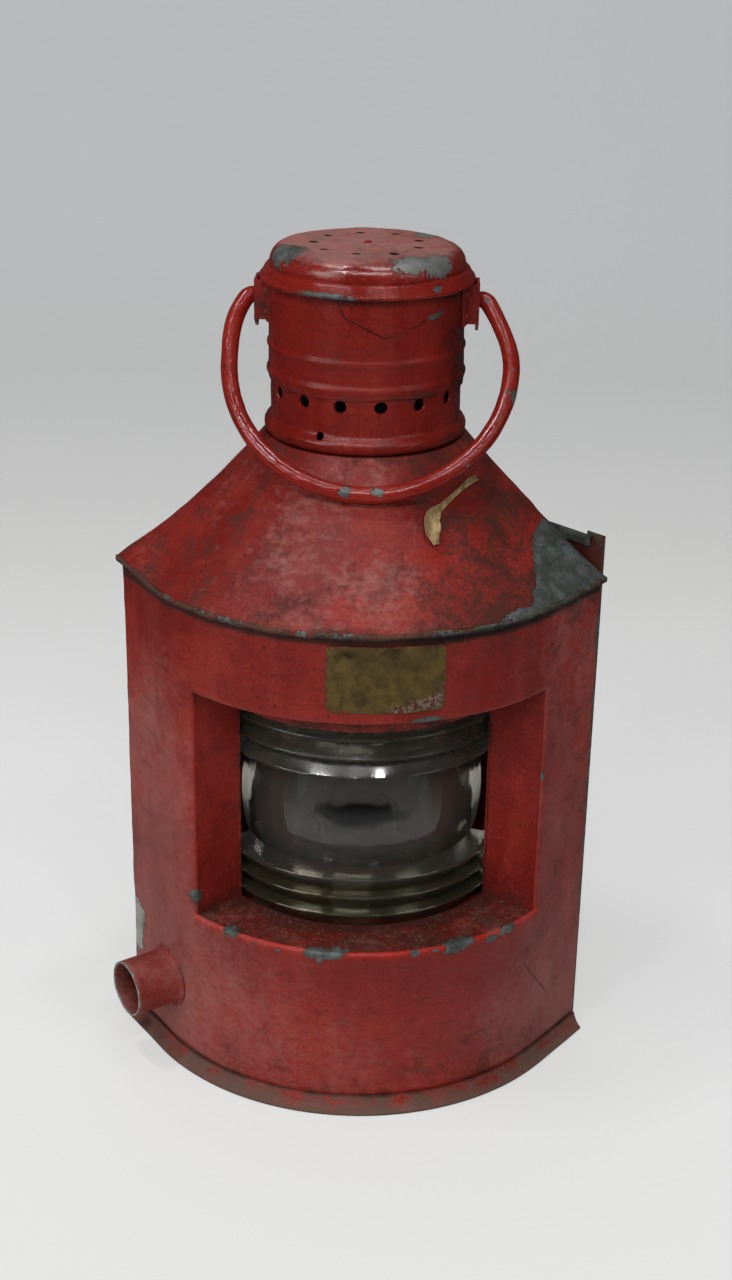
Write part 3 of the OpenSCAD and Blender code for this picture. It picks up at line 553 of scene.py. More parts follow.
def make_paint(name, look, worn=0.0, dusty=0.0, grimy=0.0, wet=0.0, mottle=1.0, grit=0.0, shine=0.28, dirt=None, cracks=(),
               freckles=0.5, metal=None, lumps=0.0, cloudy=1.0):
    """Old brick-red paint over zinc-coated sheet. worn, dusty and grimy add to the marks. The marked fields also paint
    shade, sheen and highlights into the colour
    """
    f = Finish(name)
    large, middle, small = f.noise(95, 3, seed=1), f.noise(16, 5, 0.6, seed=2), f.noise(2.4, 4, 0.6, seed=4)
    runs = f.noise(24, 5, 0.62, stretch=(1, 1, 0.16), seed=6, warp=0.4)
    brush = f.noise(15, 4, 0.6, stretch=(1, 1, 9), seed=7)
    edge = f.noise(3.2, 6, 0.7, seed=8, warp=0.3)

    red = f.mix(f.fade(large, 0.38, 0.62), colour(look.paint_deep), colour(look.paint))
    red = f.mix(f.fade(runs, 0.42, 0.72, 0, 0.4), red, colour(look.paint_light))
    red = f.mix(f.fade(middle, 0.45, 0.68, 0, min(0.6 * mottle, 1)), red, colour(look.paint_deep))
    red = f.mix(f.fade(brush, 0.5, 0.7, 0, 0.45), red, srgb(84, 22, 15))
    red = f.mix(f.fade(f.noise(1.1, 4, 0.65, seed=5), 0.5, 0.68, 0, min(0.55 * mottle, 0.8)), red, srgb(72, 18, 12))
    red = f.mix(f.fade(f.noise(1.5, 4, 0.65, seed=15), 0.56, 0.72, 0, freckles), red, srgb(176, 74, 62))

    # Painted highlight: the marked fresh field lightens the paint toward a clean bright red, as a highlight along the
    # window edges and as a brighter paint tone on the bail
    red = f.mix(f.math("MULTIPLY", f.field("fresh"), f.fade(small, 0.3, 0.6, 0.5, 1)), red, srgb(176, 38, 25))

    # Brown grime in the runs and in specks, with painted shade where the marked grime field is raised, then pale dust
    # on what faces up, with a painted pale sheen where the marked dust field is raised
    dirt = dirt or colour(look.grime)
    grime = f.math("ADD", f.field("grime"), grimy)
    grime = f.math("ADD", grime, f.fade(middle, 0.3, 0.75, -0.28 * mottle, 0.28 * mottle))
    grime = f.math("ADD", grime, f.fade(small, 0.4, 0.7, -0.1 * mottle, 0.25 * mottle))
    grime = f.fade(grime, 0.15, 0.95)
    red = f.mix(f.math("MULTIPLY", grime, 0.85), red, dirt)
    specks = f.math("MULTIPLY", f.fade(f.cells(7, seed=3), 0.1, 0.16, 1, 0), f.fade(f.noise(21, 3, seed=16), 0.5, 0.62))
    red = f.mix(f.math("MULTIPLY", specks, 0.7), red, srgb(44, 18, 14))
    if grit:
        grains = f.math("MULTIPLY", f.fade(f.cells(1.7, seed=5), 0.2, 0.3, 1, 0), f.fade(f.noise(8, 4, seed=17), 0.44, 0.56))
        red = f.mix(f.math("MULTIPLY", grains, grit), red, srgb(120, 96, 72))
    dust = f.math("ADD", f.field("dust"), dusty)
    dust = f.math("ADD", dust, f.fade(f.up, 0.1, 1.0, 0.0, 0.16))
    dust = f.math("ADD", dust, f.fade(f.noise(30, 6, 0.64, stretch=(1, 1, 0.6), seed=9), 0.3, 0.7, -0.15 * cloudy, 0.15 * cloudy))
    dust = f.math("ADD", dust, f.fade(f.noise(5, 5, 0.7, stretch=(1, 1, 1.4), seed=19), 0.3, 0.7, -0.12 * mottle * cloudy, 0.12 * mottle * cloudy))
    dust = f.fade(dust, 0.12, 1.0)
    red = f.mix(f.math("MULTIPLY", dust, 0.7), red, colour(look.dust))

    # Chips down to the metal, with a dark rim of primer round them
    bare = f.math("ADD", f.field("bare"), worn)
    bare = f.math("ADD", bare, f.fade(edge, 0.3, 0.7, -0.2, 0.2))
    chips = f.fade(f.noise(13, 6, 0.62, seed=12), 0.735, 0.75, 0, 0.55)
    bare = f.math("MAXIMUM", bare, chips)
    chip = f.fade(bare, 0.485, 0.515)
    rim = f.fade(bare, 0.40, 0.5)
    red = f.mix(f.math("MULTIPLY", rim, 0.75), red, srgb(52, 20, 15))
    for points in cracks:
        red = f.mix(f.math("MULTIPLY", f.line(points, 0.55), 0.8), red, srgb(34, 14, 12))
    metal = f.mix(f.math("MULTIPLY", f.field("pale"), f.fade(middle, 0.3, 0.6, 0.5, 1)), zinc_colour(f, metal or colour(look.zinc)), srgb(158, 155, 150))
    shown = f.mix(chip, red, metal)
    # Painted shade: the marked soot field darkens undersides, creases, the inside of the pipe and the sides turned from
    # the lamps toward near black
    soot = f.math("ADD", f.field("soot"), f.fade(middle, 0.3, 0.7, -0.15, 0.15))
    shown = f.mix(f.math("MULTIPLY", f.fade(soot, 0.1, 0.9), 0.9), shown, srgb(24, 16, 13))

    rough = f.mix_value(f.fade(runs, 0.3, 0.7), 0.36 - wet, 0.52 - wet)
    rough = f.mix_value(dust, rough, 0.75)
    rough = f.mix_value(grime, rough, 0.72)
    rough = f.mix_value(chip, rough, 0.5)
    relief = f.relief(f.math("SUBTRACT", f.math("MULTIPLY", middle, 0.5), f.math("MULTIPLY", rim, 0.5)), 0.9, 0.6)
    fine = f.math("ADD", f.math("MULTIPLY", small, 0.6), f.math("ADD", f.noise(0.7, 2, seed=14), f.math("MULTIPLY", brush, 0.5)))
    relief = f.relief(fine, 0.14, 0.7, relief)
    if lumps:
        relief = f.relief(f.noise(3.4, 3, 0.6, seed=18), lumps, 0.8, relief)
    return f.close(Base_Color=shown, Roughness=rough, Metallic=f.math("MULTIPLY", chip, 0.3), Normal=relief,
                   Specular_IOR_Level=shine)


def make_zinc(name, look, dirt=0.3, dark=srgb(54, 40, 30)):
    f = Finish(name)
    metal = zinc_colour(f, colour(look.zinc))
    stain = f.fade(f.math("ADD", f.noise(18, 6, 0.65, seed=21), f.field("grime")), 0.65 - dirt, 0.95)
    metal = f.mix(f.math("MULTIPLY", stain, 0.8), metal, dark)
    relief = f.relief(f.noise(1.6, 4, seed=23), 0.25, 0.6)
    return f.close(Base_Color=metal, Roughness=f.mix_value(stain, 0.42, 0.75), Metallic=0.55, Normal=relief)


def make_brass(name, look, soot=0.2):
    f = Finish(name)
    cloud, fine = f.noise(14, 6, 0.65, seed=31), f.noise(1.8, 4, 0.6, seed=33)
    tone = f.mix(f.fade(cloud, 0.35, 0.66, 0, 0.6), colour(look.brass), srgb(62, 50, 26))
    tone = f.mix(f.fade(fine, 0.5, 0.7, 0, 0.4), tone, srgb(92, 92, 52))
    dark = f.fade(f.math("ADD", f.noise(7, 5, seed=35), soot), 0.6, 1.05)
    tone = f.mix(dark, tone, srgb(34, 24, 18))
    # Paint that ran over the edge, and a pale crust
    over = f.fade(f.math("ADD", f.field("paint"), f.fade(f.noise(3, 5, 0.65, seed=37), 0.3, 0.7, -0.3, 0.3)), 0.47, 0.55)
    tone = f.mix(over, tone, srgb(98, 34, 26))
    crust = f.math("ADD", f.field("crust"), f.fade(f.noise(4, 5, 0.7, seed=39), 0.3, 0.7, -0.3, 0.3))
    crust = f.fade(crust, 0.42, 0.55)
    tone = f.mix(crust, tone, f.mix(f.fade(f.noise(2.6, 4, 0.65, seed=41), 0.42, 0.58), srgb(138, 122, 106), srgb(100, 46, 36)))
    rough = f.mix_value(over, f.fade(cloud, 0.3, 0.7, 0.36, 0.6), 0.5)
    relief = f.relief(f.math("ADD", f.math("MULTIPLY", fine, 0.35), f.math("ADD", crust, over)), 0.4, 0.55)
    return f.close(Base_Color=tone, Roughness=rough, Metallic=f.math("SUBTRACT", 0.55, f.math("MULTIPLY", over, 0.5)),
                   Normal=relief)


def make_tin(name, look):
    f = Finish(name)
    tone = f.mix(f.fade(f.noise(20, 5, 0.6, seed=51), 0.35, 0.65), srgb(150, 148, 138), srgb(104, 100, 90))
    tone = f.mix(f.fade(f.noise(5, 6, 0.7, seed=53), 0.55, 0.7), tone, srgb(82, 62, 44))
    relief = f.relief(f.noise(3, 4, seed=55), 0.2, 0.5)
    return f.close(Base_Color=tone, Roughness=f.fade(f.noise(12, 4, seed=57), 0.3, 0.7, 0.35, 0.6), Metallic=0.7,
                   Normal=relief)


def make_glass(name, look):
    f = Finish(name)
    film = f.fade(f.math("ADD", f.noise(26, 5, 0.6, seed=61), f.field("film")), 0.4, 1.4)
    tone = f.mix(f.field("ring"), colour(look.glass), srgb(112, 104, 78))
    tone = f.mix(film, tone, srgb(140, 138, 118))
    # Painted shade: the marked gloom field darkens the glass toward near black where the shaded inside of the lamp
    # shows through the belt
    gloom = f.math("ADD", f.field("gloom"), f.fade(f.noise(9, 4, seed=65), 0.3, 0.7, -0.2, 0.2))
    tone = f.mix(f.math("MULTIPLY", f.fade(gloom, 0.1, 0.6), 0.97), tone, srgb(30, 24, 21))
    rough = f.math("ADD", f.fade(film, 0.0, 1.0, 0.02, 0.35), f.math("MULTIPLY", f.field("ring"), 0.03))
    relief = f.relief(f.noise(7, 2, seed=63), 0.18, 0.5)
    clear = f.fade(f.field("ring"), 0, 1, 0.95, 0.86)
    return f.close(Base_Color=tone, Roughness=rough, Transmission_Weight=clear, IOR=1.5, Normal=relief,
                   Specular_IOR_Level=f.fade(gloom, 0.1, 0.6, 0.5, 0.1))


def make_felt(name, look):
    f = Finish(name)
    tone = f.mix(f.noise(1.2, 5, 0.7, seed=71), srgb(38, 34, 30), srgb(78, 70, 60))
    return f.close(Base_Color=tone, Roughness=0.95, Normal=f.relief(f.noise(0.8, 3, seed=73), 0.4))


def make_cotton(name, look):
    f = Finish(name)
    weave = f.node("ShaderNodeTexWave", {"Vector": f.coords, "Scale": 900.0, "Distortion": 1.5}, bands_direction="Z")
    tone = f.mix(weave.outputs["Fac"], srgb(158, 146, 118), srgb(208, 198, 172))
    char = f.fade(f.node("ShaderNodeSeparateXYZ", {0: f.coords}).outputs["Z"], 0.122, 0.131)
    return f.close(Base_Color=f.mix(char, tone, srgb(26, 22, 20)), Roughness=0.9,
                   Normal=f.relief(weave.outputs["Fac"], 0.3))


def make_husk(name, look):
    f = Finish(name)
    grain = f.noise(5, 5, 0.6, stretch=(1, 1, 0.3), seed=81)
    tone = f.mix(f.fade(grain, 0.35, 0.65), srgb(168, 142, 98), srgb(112, 88, 54))
    tone = f.mix(f.fade(f.noise(1.8, 4, seed=83), 0.58, 0.7), tone, srgb(84, 62, 38))
    return f.close(Base_Color=tone, Roughness=0.8, Normal=f.relief(grain, 0.3, 0.6))


class LampShape(PropertyGroup):
    wave: FloatProperty(name="Sheet waviness", default=0.0007, min=0, max=0.003, unit="LENGTH",
                        description="How far the old sheet metal stands off its true shape")
    roof_sag: FloatProperty(name="Roof sag", default=0.0022, min=0, max=0.006, unit="LENGTH",
                            description="How far the roof hangs below a straight cone half way up")
    curl: FloatProperty(name="Window edge curl", default=0.0022, min=0.001, max=0.004, unit="LENGTH",
                        description="Radius of the turned edge round the window")
    hem_wave: FloatProperty(name="Eave waviness", default=0.0007, min=0, max=0.002, unit="LENGTH",
                            description="How far the folded eave wanders up and down")
    vent_r: FloatProperty(name="Vent radius", default=0.0034, min=0.001, max=0.0036, unit="LENGTH",
                          description="Radius of the vent holes in the collar")
    prism_tip: FloatProperty(name="Prism tip", default=0.0014, min=0.0005, max=0.003, unit="LENGTH",
                             description="Height of the blunt tip of each prism ring")


class LampLook(PropertyGroup):
    paint: FloatVectorProperty(name="Paint", subtype="COLOR", size=3, min=0, max=1, default=srgb(138, 33, 24)[:3],
                               description="Brick-red of the paint")
    paint_deep: FloatVectorProperty(name="Deep paint", subtype="COLOR", size=3, min=0, max=1,
                                    default=srgb(112, 22, 15)[:3], description="Red where the paint is thick and dark")
    paint_light: FloatVectorProperty(name="Faded paint", subtype="COLOR", size=3, min=0, max=1,
                                     default=srgb(150, 46, 36)[:3], description="Red where the paint has faded")
    # Also the colour of painted shade where the grime field marks it
    grime: FloatVectorProperty(name="Grime", subtype="COLOR", size=3, min=0, max=1, default=srgb(62, 30, 22)[:3],
                               description="Brown of the caked dirt")
    # Also the colour of a painted pale sheen where the dust field marks it
    dust: FloatVectorProperty(name="Dust", subtype="COLOR", size=3, min=0, max=1, default=srgb(152, 100, 92)[:3],
                              description="Pinkish dust on what faces up")
    zinc: FloatVectorProperty(name="Bare metal", subtype="COLOR", size=3, min=0, max=1, default=srgb(72, 76, 70)[:3],
                              description="Grey-green of the bare sheet")
    brass: FloatVectorProperty(name="Brass", subtype="COLOR", size=3, min=0, max=1, default=srgb(124, 102, 54)[:3],
                               description="Tarnished brass")
    glass: FloatVectorProperty(name="Glass", subtype="COLOR", size=3, min=0, max=1, default=srgb(208, 205, 196)[:3],
                               description="Tint of the lens")


def shape():
    return bpy.context.scene.lamp_shape


def look():
    return bpy.context.scene.lamp_look


def finish(name):
    return bpy.data.materials[name]


class LAMP_OT_finishes(Operator):
    """Makes the paints and metals and gives every frame node its own"""
    bl_idname = "lamp.finishes"
    bl_label = "Finishes"

    def execute(self, context):
        own = look()
        make_paint("red paint", own)
        make_paint("body paint", own, dusty=0.04, cracks=BODY_SCRATCHES, freckles=0.3)
        make_paint("roof paint", own, grimy=0.15, mottle=1.3, freckles=0.25, cloudy=1.7)
        make_paint("worn red paint", own, grimy=0.4, dusty=0.05, grit=0.8, mottle=1.4)
        make_paint("foot paint", own, grimy=0.52, dusty=0.06, mottle=1.3, dirt=srgb(88, 72, 62))
        make_paint("hem paint", own, grimy=0.66, dusty=-0.2, mottle=1.6, dirt=srgb(80, 60, 46), metal=srgb(80, 77, 58))
        make_paint("crown paint", own, dusty=0.0, wet=0.27, mottle=1.4, shine=0.85, lumps=0.25)
        make_paint("crusted paint", own, grimy=0.5, dusty=-0.1, grit=0.7, mottle=1.5)
        make_paint("chimney paint", own, dusty=-0.4, wet=0.22, mottle=1.4, shine=0.42, freckles=0.1, lumps=0.25)
        make_paint("guide paint", own, worn=0.55, grimy=0.8, dusty=-0.2, mottle=1.6, metal=srgb(78, 74, 60))
        make_paint("ear paint", own, grimy=0.44, dusty=-0.3, wet=0.1, mottle=1.6, freckles=0.1)
        make_paint("bail paint", own, grimy=-0.04, dusty=-0.5, wet=0.34, mottle=1.5, shine=0.62, freckles=0.05, lumps=0.4)
        make_paint("sleeve paint", own, grimy=0.06, dusty=-0.4, wet=0.16, mottle=1.3, shine=0.32, cracks=SLEEVE_CRACKS, freckles=0.1,
                   lumps=0.25)
        make_zinc("bare zinc", own)
        make_zinc("sooty zinc", own, dirt=0.95, dark=srgb(26, 21, 18))
        make_brass("old brass", own)
        make_brass("sooty brass", own, soot=0.5)
        make_brass("charred brass", own, soot=0.95)
        make_tin("dull tin", own)
        make_glass("lens glass", own)
        make_felt("packing felt", own)
        make_cotton("cotton wick", own)
        make_husk("dry husk", own)
        by_slot = {"red_paint": "red paint", "red_paint_worn": "worn red paint", "bare_steel": "bare zinc",
                   "old_brass": "old brass", "tinplate": "dull tin", "lens_glass": "lens glass",
                   "packing_felt": "packing felt", "cotton_wick": "cotton wick"}
        special = {"burner_body": "sooty brass", "burner_cone": "charred brass", "wick_tube": "sooty brass",
                   "lens_rim_top": "crusted paint", "lens_rim_bottom": "crusted paint",
                   "lens_stile_left": "crusted paint", "lens_stile_right": "crusted paint",
                   "wind_baffle": "sooty zinc", "inner_flue": "sooty zinc", "baffle_stem": "chimney paint",
                   "door_guide_corner": "guide paint", "door_guide_apex": "guide paint",
                   "bail_ear_left": "ear paint", "bail_ear_right": "ear paint", "ear_rivets": "ear paint"}
        slots = {row["node"]: row["material_slot"] for row in frame["record"]["subparts"]}
        for node, obj in frame["nodes"].items():
            wanted = finish(special.get(node) or by_slot[slots[node]])
            for i in range(len(obj.material_slots)):
                obj.material_slots[i].material = wanted
        return {"FINISHED"}


class LAMP_OT_front(Operator):
    """Rolls the front sheet round the nose, with its window cut out and the edges turned in"""
    bl_idname = "lamp.front"
    bl_label = "Front sheet"

    def execute(self, context):
        curl, wave = shape().curl / MM, shape().wave / MM
        step = curl / (NOSE_R * math.radians(2 * NOSE_HALF))
        left, right = nose_u(WINDOW_TURN - WINDOW_HALF), nose_u(WINDOW_TURN + WINDOW_HALF)
        u0, u1 = left - step, min(right + step, 1.0)
        z0, z1 = SILL_Z - curl, HEAD_Z + curl
        us = spread(-1, (18, 0), (9, u0), (88, u1), (2, 1.02), (18, 2)) if u1 < 1 else spread(
            -1, (18, 0), (9, u0), (88, u1), (20, 2))
        zs = spread(1.2, (38, z0), (56, z1), (20, BODY_H - 0.1))
        patch = Patchwork()
        patch.rows([[(u, z, 0.0) for u in us] for z in zs],
                   skip=lambda a, b: u0 - 1e-6 < a[0] and b[0] < u1 + 1e-6 and z0 - 1e-6 < a[1] and b[1] < z1 + 1e-6)

        # The turned edge: a quarter round from the sheet into the recess
        ring = [(u, z0) for u in us if u0 - 1e-6 < u < u1 + 1e-6]
        ring += [(u1, z) for z in zs if z0 + 1e-6 < z < z1 + 1e-6]
        ring += [(u, z1) for u in reversed(us) if u0 - 1e-6 < u < u1 + 1e-6]
        ring += [(u0, z) for z in reversed(zs) if z0 - 1e-6 < z < z1 - 1e-6]

        def turned(turn):
            s, c = math.sin(turn), math.cos(turn)
            row = []
            for u, z in ring:
                goal_u = left if u < u0 + 1e-6 else right if u > u1 - 1e-6 else u
                goal_z = SILL_Z if z < z0 + 1e-6 else HEAD_Z if z > z1 - 1e-6 else z
                row.append((u + (goal_u - u) * s, z + (goal_z - z) * s, -curl * (1 - c)))
            return row

        patch.rows([turned(math.radians(a)) for a in (0, 22, 45, 68, 90)])

        def bend(u, z, depth):
            p = plan_point(u)
            q = plan_point(u, depth - 0.03)
            free = min(1, (z - 4) / 16, (BODY_H - 3 - z) / 10)
            off = wave * max(free, 0) * (wobble(p.x, p.y, z, 70, 2) + 0.5 * wobble(p.x, p.y, z, 24, 5)
                                         + 0.25 * wobble(p.x, p.y, z, 9, 8))
            lean = (p - Vector((0, NOSE_Y))).normalized()
            q += lean * (off - 0.5 * wave)
            return q.x, q.y, z

        front = patch.build("front_sheet", bend)
        apply_modifier(front, "SOLIDIFY", thickness=SHEET * MM * 0.9, offset=-1.0)
        co = places(front)
        edge_u = np.minimum(np.abs(co[:, 2] - SILL_Z), np.abs(co[:, 2] - HEAD_Z))
        turn = np.degrees(np.arctan2(co[:, 0], NOSE_Y - co[:, 1]))
        side = np.minimum(np.abs(turn - WINDOW_TURN + WINDOW_HALF), np.abs(turn - WINDOW_TURN - WINDOW_HALF)) * 2.1
        in_span = band(turn, WINDOW_TURN - WINDOW_HALF - 1, WINDOW_TURN + WINDOW_HALF + 1, 1)
        in_height = band(co[:, 2], SILL_Z - 2, HEAD_Z + 2, 2)
        edge = np.maximum((1 - np.clip(edge_u / 3, 0, 1)) * in_span, (1 - np.clip(side / 3, 0, 1)) * in_height)
        # Painted light and shade on the front: the band under the eave hem is darkened as a painted shadow, and the
        # right side is darkened as painted shade. The left flat, the right side and the low front get a pale painted
        # sheen through the dust field. The window edges get a painted highlight, strongest on the sill lip, and the
        # soot field paints the shadow under the hem and the shade in the crease above the foot
        low = np.clip((26 - co[:, 2]) / 24, 0, 1)
        high = np.clip((co[:, 2] - 265.5) / 4.5, 0, 1)
        film = np.clip(-co[:, 0] / 110, 0, 1) * 0.5 * np.clip((255 - co[:, 2]) / 60, 0, 1)
        film += 0.34 * np.clip((co[:, 0] - 66) / 40, 0, 1) + 0.2 * np.clip((90 - co[:, 2]) / 40, 0, 1)
        right = np.clip((co[:, 0] - 10) / 50, 0, 1)
        brown = 0.26 * np.clip((co[:, 0] - 60) / 50, 0, 1) + 0.3 * right * np.clip((co[:, 2] - 240) / 26, 0, 1)
        mark(front, bare=np.maximum(spots(co, FRONT_CHIPS), 0.16 * edge + 0.14 * low),
             grime=0.45 * low + 1.5 * high + brown + 0.5 * spots(co, FRONT_GRIME), dust=film,
             fresh=edge * np.where(co[:, 2] < SILL_Z + 2, 0.85, 0.15),
             soot=np.clip((co[:, 2] - 266.5) / 2.5, 0, 1) * (0.45 + 0.5 * right) + 0.5 * np.clip((9.2 - co[:, 2]) / 1.0, 0, 1),
             pale=np.clip((-116 - co[:, 0]) / 3, 0, 1) * (co[:, 2] < 90))
        settle(front, "casing", "red_paint", finish("body paint"), "front_shell")
        return {"FINISHED"}


class LAMP_OT_recess(Operator):
    """Sets the sill, head and two cheeks behind the window"""
    bl_idname = "lamp.recess"
    bl_label = "Window recess"

    def execute(self, context):
        wave = shape().wave / MM
        outer = NOSE_R - shape().curl / MM - 0.1
        turns = spread(WINDOW_TURN - WINDOW_HALF, (72, WINDOW_TURN + WINDOW_HALF))
        for name, z, up, node, paint in (("recess_sill", SILL_Z, 1, "window_sill", "worn red paint"),
                                         ("recess_head", HEAD_Z, -1, "window_head", "red paint")):
            patch = Patchwork()
            patch.rows([[(t, r) for t in turns] for r in spread(0, (16, 1))])

            def bend(t, r):
                p = nose_ray(t, outer + (ray_to_axis_circle(t, RIM_IN + 0.1) - outer) * r)
                dip = wave * (wobble(p.x, p.y, z, 30, 11) + 0.5 * wobble(p.x, p.y, z, 9, 12)) * min(1, 6 * r, 6 * (1 - r))
                return p.x, p.y, z - up * (0.25 * wave + abs(dip) * 0.8) if up > 0 else z + 0.1 + abs(dip)

            plate = patch.build(name, bend)
            if up < 0:
                edit(plate, lambda: bpy.ops.mesh.flip_normals())
            apply_modifier(plate, "SOLIDIFY", thickness=SHEET * MM * 0.9, offset=-1.0)
            co = places(plate)
            inner = np.clip((RIM_OUT + 9 - np.hypot(co[:, 0], co[:, 1])) / 9, 0, 1)
            mark(plate, bare=spots(co, FRONT_CHIPS), grime=0.34 + 0.6 * inner, dust=0.02 - 0.2 * inner)
            settle(plate, "casing", "red_paint_worn" if up > 0 else "red_paint", finish(paint), node)

        for name, sign, node in (("recess_cheek_left", -1, "window_cheek_left"),
                                 ("recess_cheek_right", 1, "window_cheek_right")):
            turn = WINDOW_TURN + sign * WINDOW_HALF
            inner = ray_to_axis_circle(turn, RIM_OUT + 0.2)
            patch = Patchwork()
            patch.rows([[(r, z) for r in spread(inner, (14, outer + 0.2))] for z in spread(SILL_Z - 0.7, (56, HEAD_Z + 0.7))])
            aside = Vector((math.cos(math.radians(turn)), math.sin(math.radians(turn)))) * sign

            def bend(r, z):
                p = nose_ray(turn, r)
                free = max(0, min(1, (r - inner) / 6, (outer - r) / 5, (z - SILL_Z) / 8, (HEAD_Z - z) / 8))
                q = p + aside * (free * wave * (0.4 + wobble(p.x, p.y, z, 40, 15) + 0.4 * wobble(p.x, p.y, z, 13, 16)))
                return q.x, q.y, z

            plate = patch.build(name, bend)
            if sign > 0:
                edit(plate, lambda: bpy.ops.mesh.flip_normals())
            apply_modifier(plate, "SOLIDIFY", thickness=SHEET * MM * 0.9, offset=-1.0)
            co = places(plate)
            # Painted shade: the tops of the cheeks under the window head are darkened through the grime and soot
            # fields; the foot of each cheek gets grime
            foot = np.clip((SILL_Z + 14 - co[:, 2]) / 14, 0, 1)
            crown = np.clip((co[:, 2] - HEAD_Z + 10) / 10, 0, 1)
            mark(plate, bare=spots(co, FRONT_CHIPS), grime=0.6 * foot + 0.4 * crown, soot=0.5 * crown ** 2)
            settle(plate, "casing", "red_paint", finish("red paint"), node)
        return {"FINISHED"}


class LAMP_OT_crust(Operator):
    """Builds up the old paint and grit along the upright edges of the lens opening"""
    bl_idname = "lamp.crust"
    bl_label = "Crust round the lens"

    def execute(self, context):
        for name, sign in (("lens_crust_left", -1), ("lens_crust_right", 1)):
            turn = WINDOW_TURN + sign * WINDOW_HALF
            foot = nose_ray(turn, ray_to_axis_circle(turn, RIM_OUT) - 0.2)
            path = [Vector((foot.x, foot.y, z)) for z in spread(SILL_Z - 0.3, (110, HEAD_Z + 0.3))]

            def radius(i):
                return 0.95 + 0.75 * wobble(foot.x, 0, path[i].z, 7, 151) + 0.45 * wobble(foot.x, 0, path[i].z, 2.5, 152)

            crust = sweep(name, path, Vector((1, 0, 0)), radius, 14)
            ripple(crust, 0.45, 2.4, 153 + sign)
            lumps = np.array([wobble(*p, 4, 154) for p in places(crust)])
            mark(crust, grime=0.25 + 0.7 * lumps, dust=0.2 - 0.5 * lumps)
            settle(crust, "casing", "red_paint_worn", finish("crusted paint"), angle=60)
        return {"FINISHED"}


